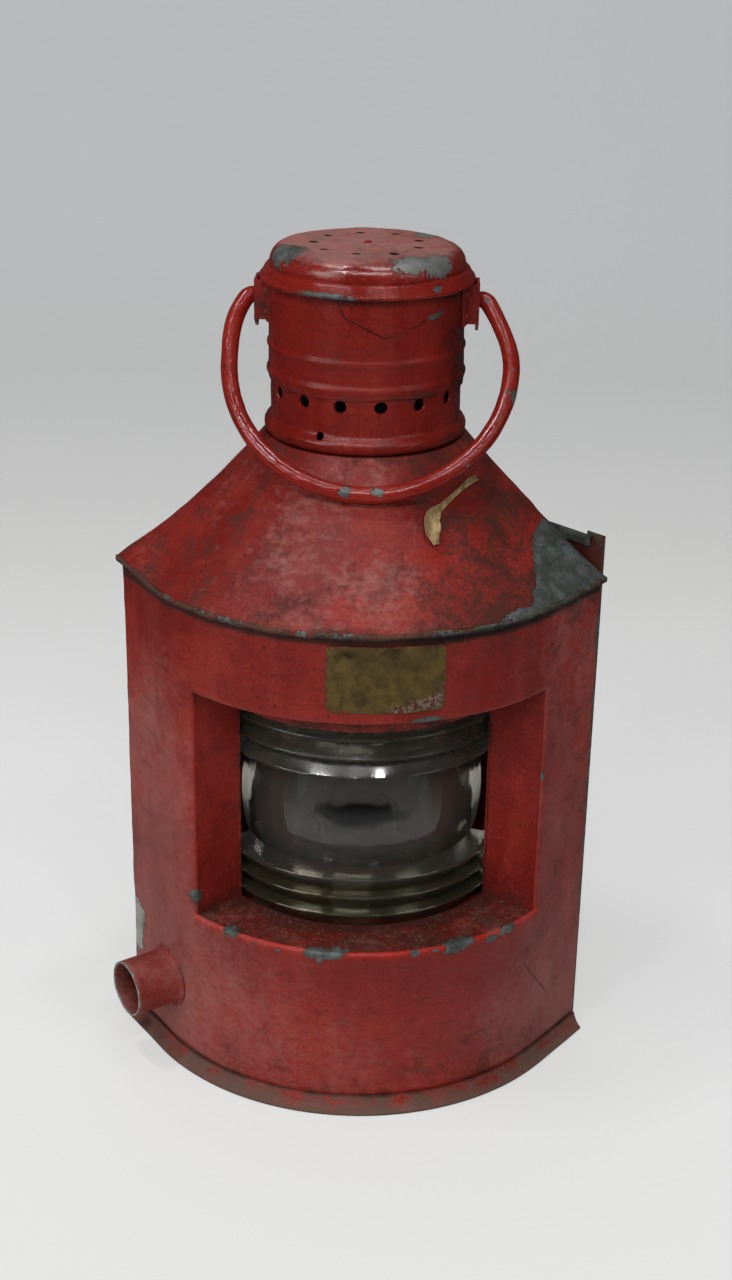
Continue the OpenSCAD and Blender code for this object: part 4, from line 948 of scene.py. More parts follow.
class LAMP_OT_roof(Operator):
    """Raises the roof from the eave's outline to the round chimney, sagging and dented"""
    bl_idname = "lamp.roof"
    bl_label = "Roof"

    def execute(self, context):
        wave, sag = shape().wave / MM, shape().roof_sag / MM
        half, rear = NOSE_HALF, 180 - REAR_TURN
        columns = [(u, 2 * half * u - half) for u in spread(0, (76, 1))]
        columns += [(u, half) for u in spread(1, (14, 2))[1:]]
        columns += [(2, a) for a in spread(half, (14, rear))[1:]]
        columns += [(u, rear) for u in spread(2, (34, 3))[1:]]
        columns += [(3, a) for a in spread(rear, (14, 360 - rear))[1:]]
        columns += [(u, 360 - rear) for u in spread(3, (34, 4))[1:]]
        columns += [(-1, a) for a in spread(360 - rear, (14, 360 - half))[1:]]
        columns += [(u, 360 - half) for u in spread(-1, (14, 0))[1:]]
        rows = [(-3, 0.0), (-2, 0.0), (-1, 0.0)] + [(0, v) for v in spread(0, (36, 1))] + [(1, 1.0)]
        patch = Patchwork()
        patch.rows([[(u, a, k, v) for u, a in columns] for k, v in rows])

        def bend(u, a, k, v):
            foot = plan_point(u, EAVE_OUT, -SHEET)
            polar = math.degrees(math.atan2(foot.x, -foot.y))
            if a > 180:
                polar += 360 if polar < 90 else 0
            elif polar < -90:
                polar += 360
            q = math.radians(0.82 * a + 0.18 * polar)
            top = Vector((math.sin(q), -math.cos(q))) * ROOF_TOP_R
            if k <= -2:
                foot = plan_point(u, -5.0 if k == -3 else EAVE_OUT - 0.5, -5.0 if k == -3 else -SHEET - 0.5)
                return foot.x, foot.y, ROOF_Z0 + 0.02 + lifted(foot.x, foot.y, 275)
            if k == -1:
                return foot.x, foot.y, ROOF_Z0 + 0.15 + lifted(foot.x, foot.y, 275)
            if k == 1:
                top *= (COLLAR_R + 0.3) / ROOF_TOP_R
                return top.x, top.y, ROOF_Z1 - 0.1
            p = foot.lerp(top, v)
            z = ROOF_Z0 + 0.6 + (ROOF_Z1 - ROOF_Z0 - 0.6) * v - 4 * sag * v * (1 - v)
            free = min(1, 6 * v, 8 * (1 - v))
            off = 1.4 * wave * free * (wobble(p.x, p.y, z, 60, 21) + 0.5 * wobble(p.x, p.y, z, 22, 22)
                                       + 0.3 * wobble(p.x, p.y, z, 8, 23) - 0.4)
            for x, y, wide, deep in ROOF_DENTS:
                d = math.hypot(p.x - x, p.y - y) / wide
                if d < 1:
                    off -= deep * (1 - d * d) ** 2
            out = p.normalized() * off * 0.7
            return p.x + out.x, p.y + out.y, z + off * 0.7 + lifted(p.x, p.y, z)

        roof = patch.build("roof_sheet", bend)
        apply_modifier(roof, "SOLIDIFY", thickness=SHEET * MM * 0.9, offset=-1.0, use_even_offset=False)
        co = places(roof)
        low = np.clip((ROOF_Z0 + 9 - co[:, 2]) / 9, 0, 1)
        high = np.clip((co[:, 2] - ROOF_Z1 + 12) / 12, 0, 1)
        # The big bare patch at the right, and the edge from which the paint has peeled
        ragged = np.array([wobble(*p, 13, 25) for p in co])
        patch_ = np.clip((co[:, 0] - 87.5 - 3 * ragged) / 5 + 0.5, 0, 1) * np.clip((-14 - co[:, 1] + 4 * ragged) / 5 + 0.5, 0, 1)
        patch_ *= np.clip((303 - co[:, 2]) / 5 + 0.5, 0, 1)
        peeled = np.clip((277.4 + 1.5 * ragged - co[:, 2]) / 2 + 0.5, 0, 1) * np.clip((co[:, 0] - 62) / 20, 0, 1) * (co[:, 1] < -22)
        back = np.clip((co[:, 1] - 0) / 40, 0, 1)
        # Painted shade and sheen on the roof: the right side and its lower right are darkened, with grime spots there
        # that stand for shade and less dust; the pale dust spots at the front middle also paint its broad sheen
        mark(roof, bare=np.maximum.reduce([spots(co, ROOF_CHIPS), 0.2 * low, patch_, peeled]),
             grime=0.35 * low + 0.3 * high + 0.2 * back + 0.35 * spots(co, ROOF_GRIME) + 0.26 * np.clip((co[:, 0] - 18) / 40, 0, 1)
             + 0.3 * np.clip((co[:, 0] - 50) / 20, 0, 1) * np.clip((292 - co[:, 2]) / 12, 0, 1), dust=spots(co, ROOF_DUST) * 0.56 - 0.14 + 0.1 * low - 0.12 * np.clip(co[:, 0] / 40, 0, 1))
        settle(roof, "casing", "red_paint", finish("roof paint"), "roof")

        # The folded hem along the front eave
        hem = Patchwork()
        turns = spread(0, (12, 360))
        us = spread(-1, (26, 0), (150, 1), (26, 2))
        hem.rows([[(u, t) for t in turns] for u in us])
        wander = shape().hem_wave / MM

        def bend_hem(u, t):
            t = math.radians(t)
            p = plan_point(u)
            drift = wander * (wobble(p.x, p.y, 0, 26, 31) + 0.6 * wobble(p.x, p.y, 0, 8, 32))
            thick = 1 + 0.3 * wobble(p.x, p.y, 0, 11, 33)
            p = plan_point(u, EAVE_OUT + 0.6 + 0.7 * thick * math.cos(t), -SHEET)
            return p.x, p.y, ROOF_Z0 - 0.9 + drift + 1.75 * thick * math.sin(t) + lifted(p.x, p.y, 275)

        edge = hem.build("eave_hem", bend_hem)
        edit(edge, lambda: bpy.ops.mesh.select_all(action="DESELECT"), lambda: bpy.ops.mesh.select_non_manifold(),
             lambda: bpy.ops.mesh.fill_holes(sides=0))
        face_outwards(edge)
        co = places(edge)
        patches = np.array([wobble(*p, 17, 35) for p in co])
        right = np.clip((co[:, 0] - 10) / 60, 0, 1)
        under = np.clip((ROOF_Z0 - 1.0 - co[:, 2]) / 0.8, 0, 1)
        # Painted shade: the underside of the hem is darkened, more toward the right, and the right part gets more grime
        # as shade; most of the rest of the hem is darkened a little as well
        mark(edge, bare=0.38 + 0.3 * patches + 0.2 * right, grime=0.3 - 0.3 * patches + 0.2 * right,
             soot=under * (0.35 + 0.4 * right) + 0.25 * (patches < 0.4))
        settle(edge, "casing", "bare_steel", finish("hem paint"), "eave_bead")
        return {"FINISHED"}


class LAMP_OT_back(Operator):
    """Stands the two rear walls behind the nose and hooks the sliding door over the right one"""
    bl_idname = "lamp.back"
    bl_label = "Rear walls and door"

    def execute(self, context):
        wave = shape().wave / MM
        apex, corner = -REAR, REAR_CORNER
        self.wall("rear_sheet_left", -1, spread(apex, (70, corner)), spread(FLOOR_T, (100, BODY_H + SHEET)), "rear_wall_left", None, wave)
        xs = spread(apex, (7, DOORWAY_X0), (52, DOORWAY_X1), (7, corner))
        zs = spread(FLOOR_T, (4, DOORWAY_Z0), (84, DOORWAY_Z1), (20, WALL_TOP))
        self.wall("rear_sheet_right", 1, xs, zs, "rear_wall_right",
                  lambda a, b: DOORWAY_X0 - 0.01 < a[0] and b[0] < DOORWAY_X1 + 0.01 and DOORWAY_Z0 - 0.01 < a[1] and b[1] < DOORWAY_Z1 + 0.01,
                  wave)
        self.door(wave)
        return {"FINISHED"}

    def wall(self, name, side, xs, zs, node, skip, wave):
        patch = Patchwork()
        patch.rows([[(x, z) for x in xs] for z in zs], skip)
        x0, x1, z0, z1 = xs[0], xs[-1], zs[0], zs[-1]

        def bend(x, z):
            free = max(0, min(1, (x - x0) / 12, (x1 - x) / 12, (z - z0) / 12, (z1 - z) / 12))
            off = wave * free * (0.7 + 0.8 * wobble(x, 0, z, 55, 121 + side) + 0.35 * wobble(x, 0, z, 17, 123 + side))
            p = wall_point(side, x, -max(off, 0) - 0.02)
            return p.x, p.y, z

        sheet = patch.build(name, bend)
        if side > 0:
            edit(sheet, lambda: bpy.ops.mesh.flip_normals())
        apply_modifier(sheet, "SOLIDIFY", thickness=SHEET * MM * 0.9, offset=-1.0)
        co = places(sheet)
        low = np.clip((24 - co[:, 2]) / 22, 0, 1)
        top = np.clip((co[:, 2] - z1 + 8) / 8, 0, 1)
        edge = np.clip((np.abs(co[:, 0]) - 117) / 6, 0, 1)
        rub = np.array([wobble(*p, 45, 127) for p in co])
        peak = np.clip((co[:, 2] - 272) / 4, 0, 1) * (side > 0)
        mark(sheet, bare=np.maximum(spots(co, WALL_CHIPS), 0.22 * low + 0.2 * top + 0.25 * edge + 0.12 * peak),
             grime=0.25 + 0.4 * low + 0.4 * rub + 0.8 * peak, dust=0.25 * rub - 0.05, soot=0.4 * peak)
        settle(sheet, "casing", "red_paint", finish("red paint"), node)

    def door(self, wave):
        section = [(DOOR_Y, z) for z in spread(DOOR_Z0, (90, DOOR_TOP - 1.3))]
        section += [(DOOR_Y - 0.35, DOOR_TOP - 0.65), (DOOR_Y - 0.9, DOOR_TOP - 0.4), (DOOR_Y - 1.9, DOOR_TOP - 0.4),
                    (DOOR_Y - 2.5, DOOR_TOP - 0.65), (DOOR_Y - 2.85, DOOR_TOP - 1.3)]
        section += [(DOOR_Y - 2.85, z) for z in spread(DOOR_TOP - 1.3, (3, DOOR_TOP - 5.4))[1:]]
        patch = Patchwork()
        patch.rows([[(x, j) for x in spread(DOOR_X0, (64, DOOR_X1))] for j in range(len(section))])

        def bend(x, j):
            y, z = section[int(j)]
            free = max(0, min(1, (x - DOOR_X0) / 14, (DOOR_X1 - x) / 14, (z - DOOR_Z0) / 12, (DOOR_TOP - 8 - z) / 12))
            bulge = 0.8 * wave * free * (0.5 + wobble(x, 0, z, 60, 131) + 0.4 * wobble(x, 0, z, 16, 132))
            lip = 0.25 * wobble(x, 0, 0, 12, 133) if j > 93 else 0
            p = wall_point(1, x, y + max(bulge, 0) + lip * 0.5)
            return p.x, p.y, z + (lip if j > 97 else 0)

        door = patch.build("door_sheet", bend)
        apply_modifier(door, "SOLIDIFY", thickness=0.7 * MM, offset=0.0)
        face_outwards(door)
        co = places(door)
        depth = (co[:, 0] + co[:, 1]) / math.sqrt(2) - REAR
        hem = np.clip((co[:, 2] - DOOR_TOP + 6.2) / 0.8, 0, 1) * np.clip((0.2 - depth) / 0.5 + (co[:, 2] > DOOR_TOP - 1.0), 0, 1)
        end = np.clip((co[:, 0] - 117.5) / 2, 0, 1)
        low = np.clip((30 - co[:, 2]) / 24, 0, 1)
        rub = np.array([wobble(*p, 45, 135) for p in co])
        # Painted shadow: the sheet under the hooked top hem is darkened through the soot field
        mark(door, bare=np.maximum(0.9 * hem - 0.6 * end, spots(co, WALL_CHIPS) + 0.1 * low), grime=0.25 + 0.35 * low + 0.4 * rub + 0.4 * end,
             dust=0.3 * rub, soot=0.42 * hem)
        settle(door, "door", "red_paint", finish("red paint"), "sliding_door")


class LAMP_OT_shred(Operator):
    """Lays the dry curled shred that is caught behind the bail on the roof"""
    bl_idname = "lamp.shred"
    bl_label = "Dry shred"

    def execute(self, context):
        centre = [Vector(p) for p in SHRED]
        count = 36
        patch = Patchwork()
        patch.rows([[(i, k) for k in range(-3, 4)] for i in range(count + 1)])

        def bend(i, k):
            t = i / count * (len(centre) - 1)
            n = min(int(t), len(centre) - 2)
            f = t - n
            smooth = f * f * (3 - 2 * f)
            p = centre[n].lerp(centre[n + 1], f * 0.5 + smooth * 0.5)
            along = (centre[n + 1] - centre[n]).normalized()
            out = Vector((0.35, -0.65, 0.68)).normalized()
            across = along.cross(out).normalized()
            s = i / count
            half = 1.7 + 3.0 * math.exp(-((s - 0.74) / 0.17) ** 2) + 0.5 * wobble(i, 0, 0, 4, 141) - 0.7 * max(0, s - 0.9) / 0.1
            half = max(half, 0.35)
            twist = math.radians(35 * math.sin(4.4 * s) + 20)
            side = across * math.cos(twist) + out * math.sin(twist)
            w = k / 3
            curl = out * (0.55 * half * w * w) + out * (0.4 * wobble(i, k, 0, 5, 143))
            notch = 0.7 * (1 - abs(w)) * along if i == count else Vector()
            return p + side * half * w + curl - notch

        shred = patch.build("dry_shred", bend)
        apply_modifier(shred, "SOLIDIFY", thickness=0.25 * MM, offset=0.0)
        face_outwards(shred)
        settle(shred, "casing", "packing_felt", finish("dry husk"), angle=60)
        return {"FINISHED"}


class LAMP_OT_foot(Operator):
    """Lays the floor plate and flares its skirt round the front"""
    bl_idname = "lamp.foot"
    bl_label = "Foot"

    def execute(self, context):
        section = [(-14, 0.0), (0, 0.0), (6.2, 0.0), (6.9, 0.35), (6.8, 1.1), (5.6, 1.9), (4.1, 3.3), (2.9, 5.2),
                   (2.0, 7.2), (1.5, 8.6), (1.1, 9.0), (0.35, 8.9), (0.3, 8.2), (1.2, 5.6), (3.6, 2.2), (4.8, 1.05), (-14, 1.0)]
        columns = [(u, 0) for u in spread(-1, (16, 0), (110, 1), (16, 2))]
        columns += [(u, 1) for u in spread(2, (6, 3), (6, 4))]
        columns.append((-1, 0))
        patch = Patchwork()
        patch.rows([[(u, back, j) for u, back in columns] for j in range(len(section))])

        def bend(u, back, j):
            out, z = section[int(j)]
            if back:
                p = plan_point(u, max(out, -14) if out < 0 else min(out, 0.3), -14 if out < 0 else 0.0)
                return p.x, p.y, 0.0 if j < 3 else min(z, 1.0)
            p = plan_point(u, out, -14 if out < 0 else 0.0)
            lift = 0.35 * (1 + wobble(p.x, p.y, 0, 30, 41)) * (1 if 2 < j < 13 else 0)
            bow = 0.3 * wobble(p.x, p.y, z, 18, 42) * (1 if 2 < j < 13 else 0)
            q = plan_point(u, out + min(bow, 0.1), -14 if out < 0 else 0.0)
            return q.x, q.y, max(z + (lift if z > 0 else 0) - 0.3 * (z > 5), 0.0)

        foot = patch.build("foot_skirt", bend)
        edit(foot, lambda: bpy.ops.mesh.select_all(action="DESELECT"), lambda: bpy.ops.mesh.select_non_manifold(),
             lambda: bpy.ops.mesh.fill_holes(sides=0))
        face_outwards(foot)
        co = places(foot)
        rim = np.clip((2.2 - co[:, 2]) / 2.2, 0, 1)
        patches = np.array([wobble(*p, 22, 43) for p in co])
        lip = np.clip((5.5 - co[:, 2]) / 3, 0, 1)
        # Painted shade: the soot field darkens the line where the skirt meets the floor and the crease where it meets
        # the body, and paints the pipe's shadow on the skirt below it
        mark(foot, bare=0.3 * rim + 0.35 * patches * rim, grime=0.2 + 0.45 * patches + 0.3 * lip + 0.3 * rim,
             soot=0.7 * np.clip((1.6 - co[:, 2]) / 1.0, 0, 1) + 0.6 * np.clip((co[:, 2] - 7.8) / 1.0, 0, 1)
             + 0.9 * spots(co, [(-117.6, -42.6, 3.4, 9, 8)]))
        settle(foot, "casing", "red_paint_worn", finish("foot paint"), "base_tray")
        return {"FINISHED"}


class LAMP_OT_chimney(Operator):
    """Turns the collar with its vents, the sleeve, the rolled rim and the pierced crown"""
    bl_idname = "lamp.chimney"
    bl_label = "Chimney"

    def execute(self, context):
        wave = shape().wave / MM
        self.collar(wave)
        self.sleeve(wave)
        self.rim(wave)
        self.crown(wave)
        return {"FINISHED"}

    def collar(self, wave):
        bead_z, bead_half, bead_out = 347.4, 4.4, 3.3
        rho = (bead_half ** 2 + bead_out ** 2) / (2 * bead_out)

        def radius(z):
            dz = abs(z - bead_z)
            bead = COLLAR_R + bead_out - rho + math.sqrt(rho * rho - dz * dz) if dz < bead_half else COLLAR_R
            soft = COLLAR_R + 0.7 * math.exp(-max(0, dz - bead_half + 0.6) / 0.8)
            return max(bead, soft, COLLAR_R)

        v0, v1, pitch = VENT_Z - 4.0, VENT_Z + 4.0, 360 / VENTS
        start = VENT_TURN - pitch / 2
        turns = spread(start, (120, start + 360))
        patch = Patchwork()
        open_u = (start + 45, start + 51)
        patch.rows([[(t, z, 0.0) for t in turns] for z in spread(343.1, (10, OPEN_HOLE_Z - 2.7), (4, OPEN_HOLE_Z + 2.7), (8, v0))],
                   skip=lambda a, b: open_u[0] - 0.01 < a[0] and b[0] < open_u[1] + 0.01 and abs((a[1] + b[1]) / 2 - OPEN_HOLE_Z) < 2.7)
        hole_rings(patch, *open_u, OPEN_HOLE_Z - 2.7, OPEN_HOLE_Z + 2.7, (math.degrees(2.2 / 50), 2.2), 2, 4, 2, [(0.9, -0.4), (0.86, -1.0)])
        patch.rows([[(t, z, 0.0) for t in turns] for z in spread(v1, (3, 377.0))])
        r = shape().vent_r / MM
        for i in range(VENTS):
            hole_rings(patch, start + i * pitch, start + (i + 1) * pitch, v0, v1,
                       (math.degrees(r / COLLAR_R), r), 8, 4, 3, [(0.93, -0.35), (0.9, -1.1)])

        def bend(t, z, depth):
            t = math.radians(t)
            rr = radius(z) + depth
            x, y = rr * math.sin(t), -rr * math.cos(t)
            off = 0.45 * wave * (wobble(x, y, z, 22, 51) + 0.5 * wobble(x, y, z, 8, 52)) - 0.25 * wave
            return x * (1 + off / rr), y * (1 + off / rr), z

        collar = patch.build("collar_sheet", bend)
        apply_modifier(collar, "SOLIDIFY", thickness=0.7 * MM, offset=-1.0)
        co = places(collar)
        low = np.clip((346 - co[:, 2]) / 3, 0, 1)
        high = np.clip((co[:, 2] - 368.5) / 3, 0, 1)
        # Painted shade: the collar's right side and its top under the sleeve's edge are darkened; its foot at the roof
        # is darkened as well
        mark(collar, bare=spots(co, CHIMNEY_CHIPS), grime=0.6 * low + 0.6 * high, dust=-0.2 + 0 * low, soot=0.4 * low + 0.5 * np.clip((co[:, 0] - 32) / 14, 0, 1))
        settle(collar, "casing", "red_paint", finish("chimney paint"), "chimney_collar")

    def sleeve(self, wave):
        def bead(z, middle, half, out):
            d = abs(z - middle) / half
            return out * math.cos(d * math.pi / 2) ** 1.3 if d < 1 else 0

        zs = spread(SLEEVE_Z0, (16, 382), (12, 393), (30, RIM_Z))
        patch = Patchwork()
        patch.rows([[(t, z) for t in spread(0, (132, 360))] for z in zs])

        def bend(t, z):
            t = math.radians(t)
            r = SLEEVE_R + bead(z, 375.5, 3.0, 1.0) + bead(z, 388.9, 2.2, 0.9)
            x, y = r * math.sin(t), -r * math.cos(t)
            free = min(1, (RIM_Z - z) / 6)
            off = 0.5 * wave * free * (wobble(x, y, z, 26, 61) + 0.5 * wobble(x, y, z, 9, 62)) - 0.2 * wave
            loose = max(0, 1 - (z - SLEEVE_Z0) / 3)
            off += loose * 0.6 * (wobble(x, y, 0, 14, 63) + 0.3)
            drop = loose * 1.1 * wobble(x, y, 0, 12, 64)
            return x * (1 + off / r), y * (1 + off / r), z + drop

        sleeve = patch.build("sleeve_sheet", bend)
        apply_modifier(sleeve, "SOLIDIFY", thickness=SHEET * MM * 0.9, offset=-1.0)
        co = places(sleeve)
        edge = np.clip((SLEEVE_Z0 + 2.5 - co[:, 2]) / 2.5, 0, 1)
        top = np.clip((co[:, 2] - 419) / 6, 0, 1)
        # Painted shade: the top of the sleeve under the rolled rim and its right side are darkened through the grime
        # and soot fields; the loose lower edge gets grime too
        mark(sleeve, bare=np.maximum(spots(co, CHIMNEY_CHIPS), 0.25 * edge), grime=0.5 * edge + 0.45 * top,
             dust=-0.2 + 0 * edge, soot=0.6 * np.clip((co[:, 2] - 416.5) / 5, 0, 1) + 0.6 * np.clip((co[:, 0] - 30) / 16, 0, 1))
        settle(sleeve, "casing", "red_paint", finish("sleeve paint"), "chimney_sleeve")

    def rim(self, wave):
        roll, at = 1.5, (52.7, RIM_Z - 5.0)
        profile = [(47.6, RIM_Z), (49.6, RIM_Z), (50.6, RIM_Z - 1.2), (51.4, RIM_Z - 3.4)]
        profile += [(at[0] + roll * math.cos(math.radians(a)), at[1] + roll * math.sin(math.radians(a)))
                    for a in range(190, 421, 20)]
        profile += [(52.6, RIM_Z - 2.7), (51.6, RIM_Z - 0.7), (50.4, RIM_Z + 0.6), (49.0, RIM_Z + 0.8), (47.6, RIM_Z + 0.8)]
        rim = lathe("rim_roll", profile, steps=144, closed=True)
        face_outwards(rim)
        ripple(rim, 0.4 * wave, 16, 71)
        co = places(rim)
        co[:, 2] = np.maximum(co[:, 2], 421.05)
        set_places(rim, co)
        # Painted shade: the underside of the rolled rim is darkened through the grime and soot fields
        mark(rim, bare=spots(co, CHIMNEY_CHIPS), grime=0.3 * np.clip((422 - co[:, 2]), 0, 1), dust=-0.2 + 0 * co[:, 2],
             soot=0.5 * np.clip((422.6 - co[:, 2]), 0, 1))
        settle(rim, "casing", "red_paint", finish("chimney paint"), "cap_rim", angle=60)

    def crown(self, wave):
        flat = CROWN_R - CROWN_FILLET
        arc = CROWN_FILLET * math.pi / 2
        side = CROWN_Z - CROWN_FILLET - (RIM_Z + SHEET) - 0.02
        v0, v1, pitch = CROWN_HOLE_CIRCLE - 5.0, CROWN_HOLE_CIRCLE + 5.0, 360 / CROWN_HOLES
        start = 110 - pitch / 2
        turns = spread(start, (90, start + 360))
        patch = Patchwork()
        patch.rows([[(t, v, 0.0) for t in reversed(turns)] for v in spread(1.6, (10, v0))])
        patch.rows([[(t, v, 0.0) for t in reversed(turns)] for v in spread(v1, (4, flat), (9, flat + arc), (2, flat + arc + side))])
        for i in range(CROWN_HOLES):
            hole_rings(patch, start + (i + 1) * pitch, start + i * pitch, v0, v1,
                       (math.degrees(2.6 / CROWN_HOLE_CIRCLE), 2.6), 10, 5, 3, [(0.98, -0.08), (0.96, -0.2)])

        def bend(t, v, depth):
            t = math.radians(t)
            if v < flat:
                r, z = v, CROWN_Z + 0.5 * (1 - (v / flat) ** 2)
            elif v < flat + arc:
                a = (v - flat) / CROWN_FILLET
                r, z = flat + CROWN_FILLET * math.sin(a), CROWN_Z - CROWN_FILLET * (1 - math.cos(a))
            else:
                r, z = CROWN_R, CROWN_Z - CROWN_FILLET - (v - flat - arc)
            x, y = r * math.sin(t), -r * math.cos(t)
            free = min(1, (flat + arc - v) / 8) if v < flat + arc else 0
            z += depth + wave * 0.8 * max(free, 0) * (wobble(x, y, 0, 24, 81) + 0.5 * wobble(x, y, 0, 8, 82) - 0.3)
            return x, y, z

        crown = patch.build("crown_sheet", bend)
        apply_modifier(crown, "SOLIDIFY", thickness=SHEET * MM * 0.9, offset=-1.0)
        co = places(crown)
        top = np.clip((co[:, 2] - 432.5) / 6, 0, 1)
        near = np.abs(np.hypot(co[:, 0], co[:, 1]) - CROWN_HOLE_CIRCLE)
        blots = np.array([wobble(*p, 9, 83) for p in co])
        mark(crown, bare=spots(co, CHIMNEY_CHIPS), grime=top * (0.32 + 0.8 * blots + 0.4 * (near < 4) + 0.4 * spots(co, [(0, 0, 438, 12, 12)])),
             dust=0.95 * top ** 1.5 - 0.25, pale=0.35 * (co[:, 0] > 10))
        settle(crown, "casing", "red_paint", finish("crown paint"), "cap_crown")


class LAMP_OT_bail(Operator):
    """Bends the wire bail and lays it forward on the roof"""
    bl_idname = "lamp.bail"
    bl_label = "Bail"

    def execute(self, context):
        lift = math.sqrt((BAIL_R - ELBOW_R) ** 2 - ELBOW_X ** 2)
        meet = math.degrees(math.asin(lift / (BAIL_R - ELBOW_R)))
        drop = lift + ELBOW_R
        low = -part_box("bail_handle")[0].y / MM - WIRE_R
        rest = math.asin(low / (drop + BAIL_R))
        half = [(PIVOT_IN, 0.0), (PIVOT_IN + 0.8, 0.0), (PIVOT_IN + 1.6, 0.0), (PIVOT_IN + 1.9, 0.0), (PIVOT_IN + 2.6, 0.0)]
        half += [(x, 0.0) for x in spread(54.6, (4, ELBOW_X))]
        half += [(ELBOW_X + ELBOW_R * math.cos(math.radians(a)), -ELBOW_R + ELBOW_R * math.sin(math.radians(a)))
                 for a in spread(90, (9, meet))[1:]]
        half += [(BAIL_R * math.cos(math.radians(a)), -drop + BAIL_R * math.sin(math.radians(a)))
                 for a in spread(meet, (56, -90))[1:]]
        flat = half + [(-x, z) for x, z in reversed(half[:-1])]
        path = [Vector((x, z * math.sin(rest), PIVOT_Z + z * math.cos(rest))) for x, z in flat]
        side = Vector((0, math.cos(rest), -math.sin(rest)))
        last = len(path) - 1

        def radius(i):
            k = min(i, last - i)
            thick = PIVOT_R + 1.2 if k < 3 else PIVOT_R if k < 6 else WIRE_R * min(1.14, 0.86 + 0.05 * (k - 5))
            if k > 14:
                p = path[i]
                thick *= 1 + 0.025 * wobble(p.x, p.y, p.z, 12, 91)
            return thick

        bail = sweep("bail_wire", path, side, radius, 20)
        ripple(bail, 0.2, 6, 93, hold=lambda co: np.clip((np.abs(co[:, 2] - PIVOT_Z) - 6) / 6, 0, 1))
        co = places(bail)
        share = np.clip((PIVOT_Z - 3 - co[:, 2]) / 26, 0, 1)
        co[:, 0] += 2.8 * share * share * (3 - 2 * share)
        set_places(bail, co)
        mark(bail, bare=spots(co, BAIL_CHIPS), grime=-0.1 * np.ones(len(co)), dust=-0.15 + 0 * co[:, 0],
             fresh=0.1 * np.ones(len(co)))
        settle(bail, "bail", "red_paint", finish("bail paint"), "bail_handle", angle=60)
        return {"FINISHED"}


class LAMP_OT_lens(Operator):
    """Spins the drum lens with its clear belt and prism rings"""
    bl_idname = "lamp.lens"
    bl_label = "Lens"

    def execute(self, context):
        tip = shape().prism_tip / MM
        upper = []
        for i in range(3):
            z = BELT_HALF + i * RING_PITCH
            root = BELT_END_R if i == 0 else LENS_NOTCH_R
            upper += [(root + 0.8, z + 0.02), (LENS_R - 0.9, z + 0.05), (LENS_R - 0.3, z + 0.25), (LENS_R, z + 0.7),
                      (LENS_R - 0.1, z + tip + 0.1), (LENS_R - 0.5, z + tip + 0.6), (LENS_R - 1.4, z + tip + 1.7)]
            upper += [(LENS_R - 4.0, z + tip + 4.9), (LENS_NOTCH_R + 0.5, z + RING_PITCH - 0.7), (LENS_NOTCH_R, z + RING_PITCH - 0.1)]
        belt = []
        for i in range(25):
            t = 2 * i / 24 - 1
            belt.append((BELT_END_R + (BELT_R - BELT_END_R) * (1 - t * t), t * BELT_HALF * 0.998))
        profile = [(LENS_IN_R, -61.0)] + [(r, -z) for r, z in reversed(upper)] + belt + upper + [(LENS_IN_R, 61.0)]
        profile += [(LENS_IN_R, z) for z in spread(61, (8, -61))[1:-1]]
        lens = lathe("drum_lens", [(r, z + LENS_MID) for r, z in profile], steps=110, closed=True,
                     turn=2 * LENS_HALF, start=WINDOW_TURN - LENS_HALF)
        edit(lens, lambda: bpy.ops.mesh.select_all(action="DESELECT"), lambda: bpy.ops.mesh.select_non_manifold(),
             lambda: bpy.ops.mesh.edge_face_add())
        face_outwards(lens)
        co = places(lens)
        # The prism rings get a darker tint than the belt; the full tint on the lower rings, against less on the upper
        # ones, is painted shade
        ring = np.clip((np.abs(co[:, 2] - LENS_MID) - BELT_HALF) / 4, 0, 1) * np.where(co[:, 2] < LENS_MID, 1.0, 0.45)
        # A dark oval painted on the front of the belt stands for the shaded inside of the lamp seen through it: painted
        # shade
        oval = 1.25 - np.hypot((co[:, 0] - 3) / 25, (co[:, 2] - LENS_MID - 3.5) / 7.5)
        mark(lens, film=np.where(co[:, 2] < LENS_MID, 0.2, 1.1) * ring, ring=ring, gloom=np.clip(oval, 0, 1) * (co[:, 1] < 0))
        settle(lens, "casing", "lens_glass", finish("lens glass"), "lens", angle=32)
        return {"FINISHED"}


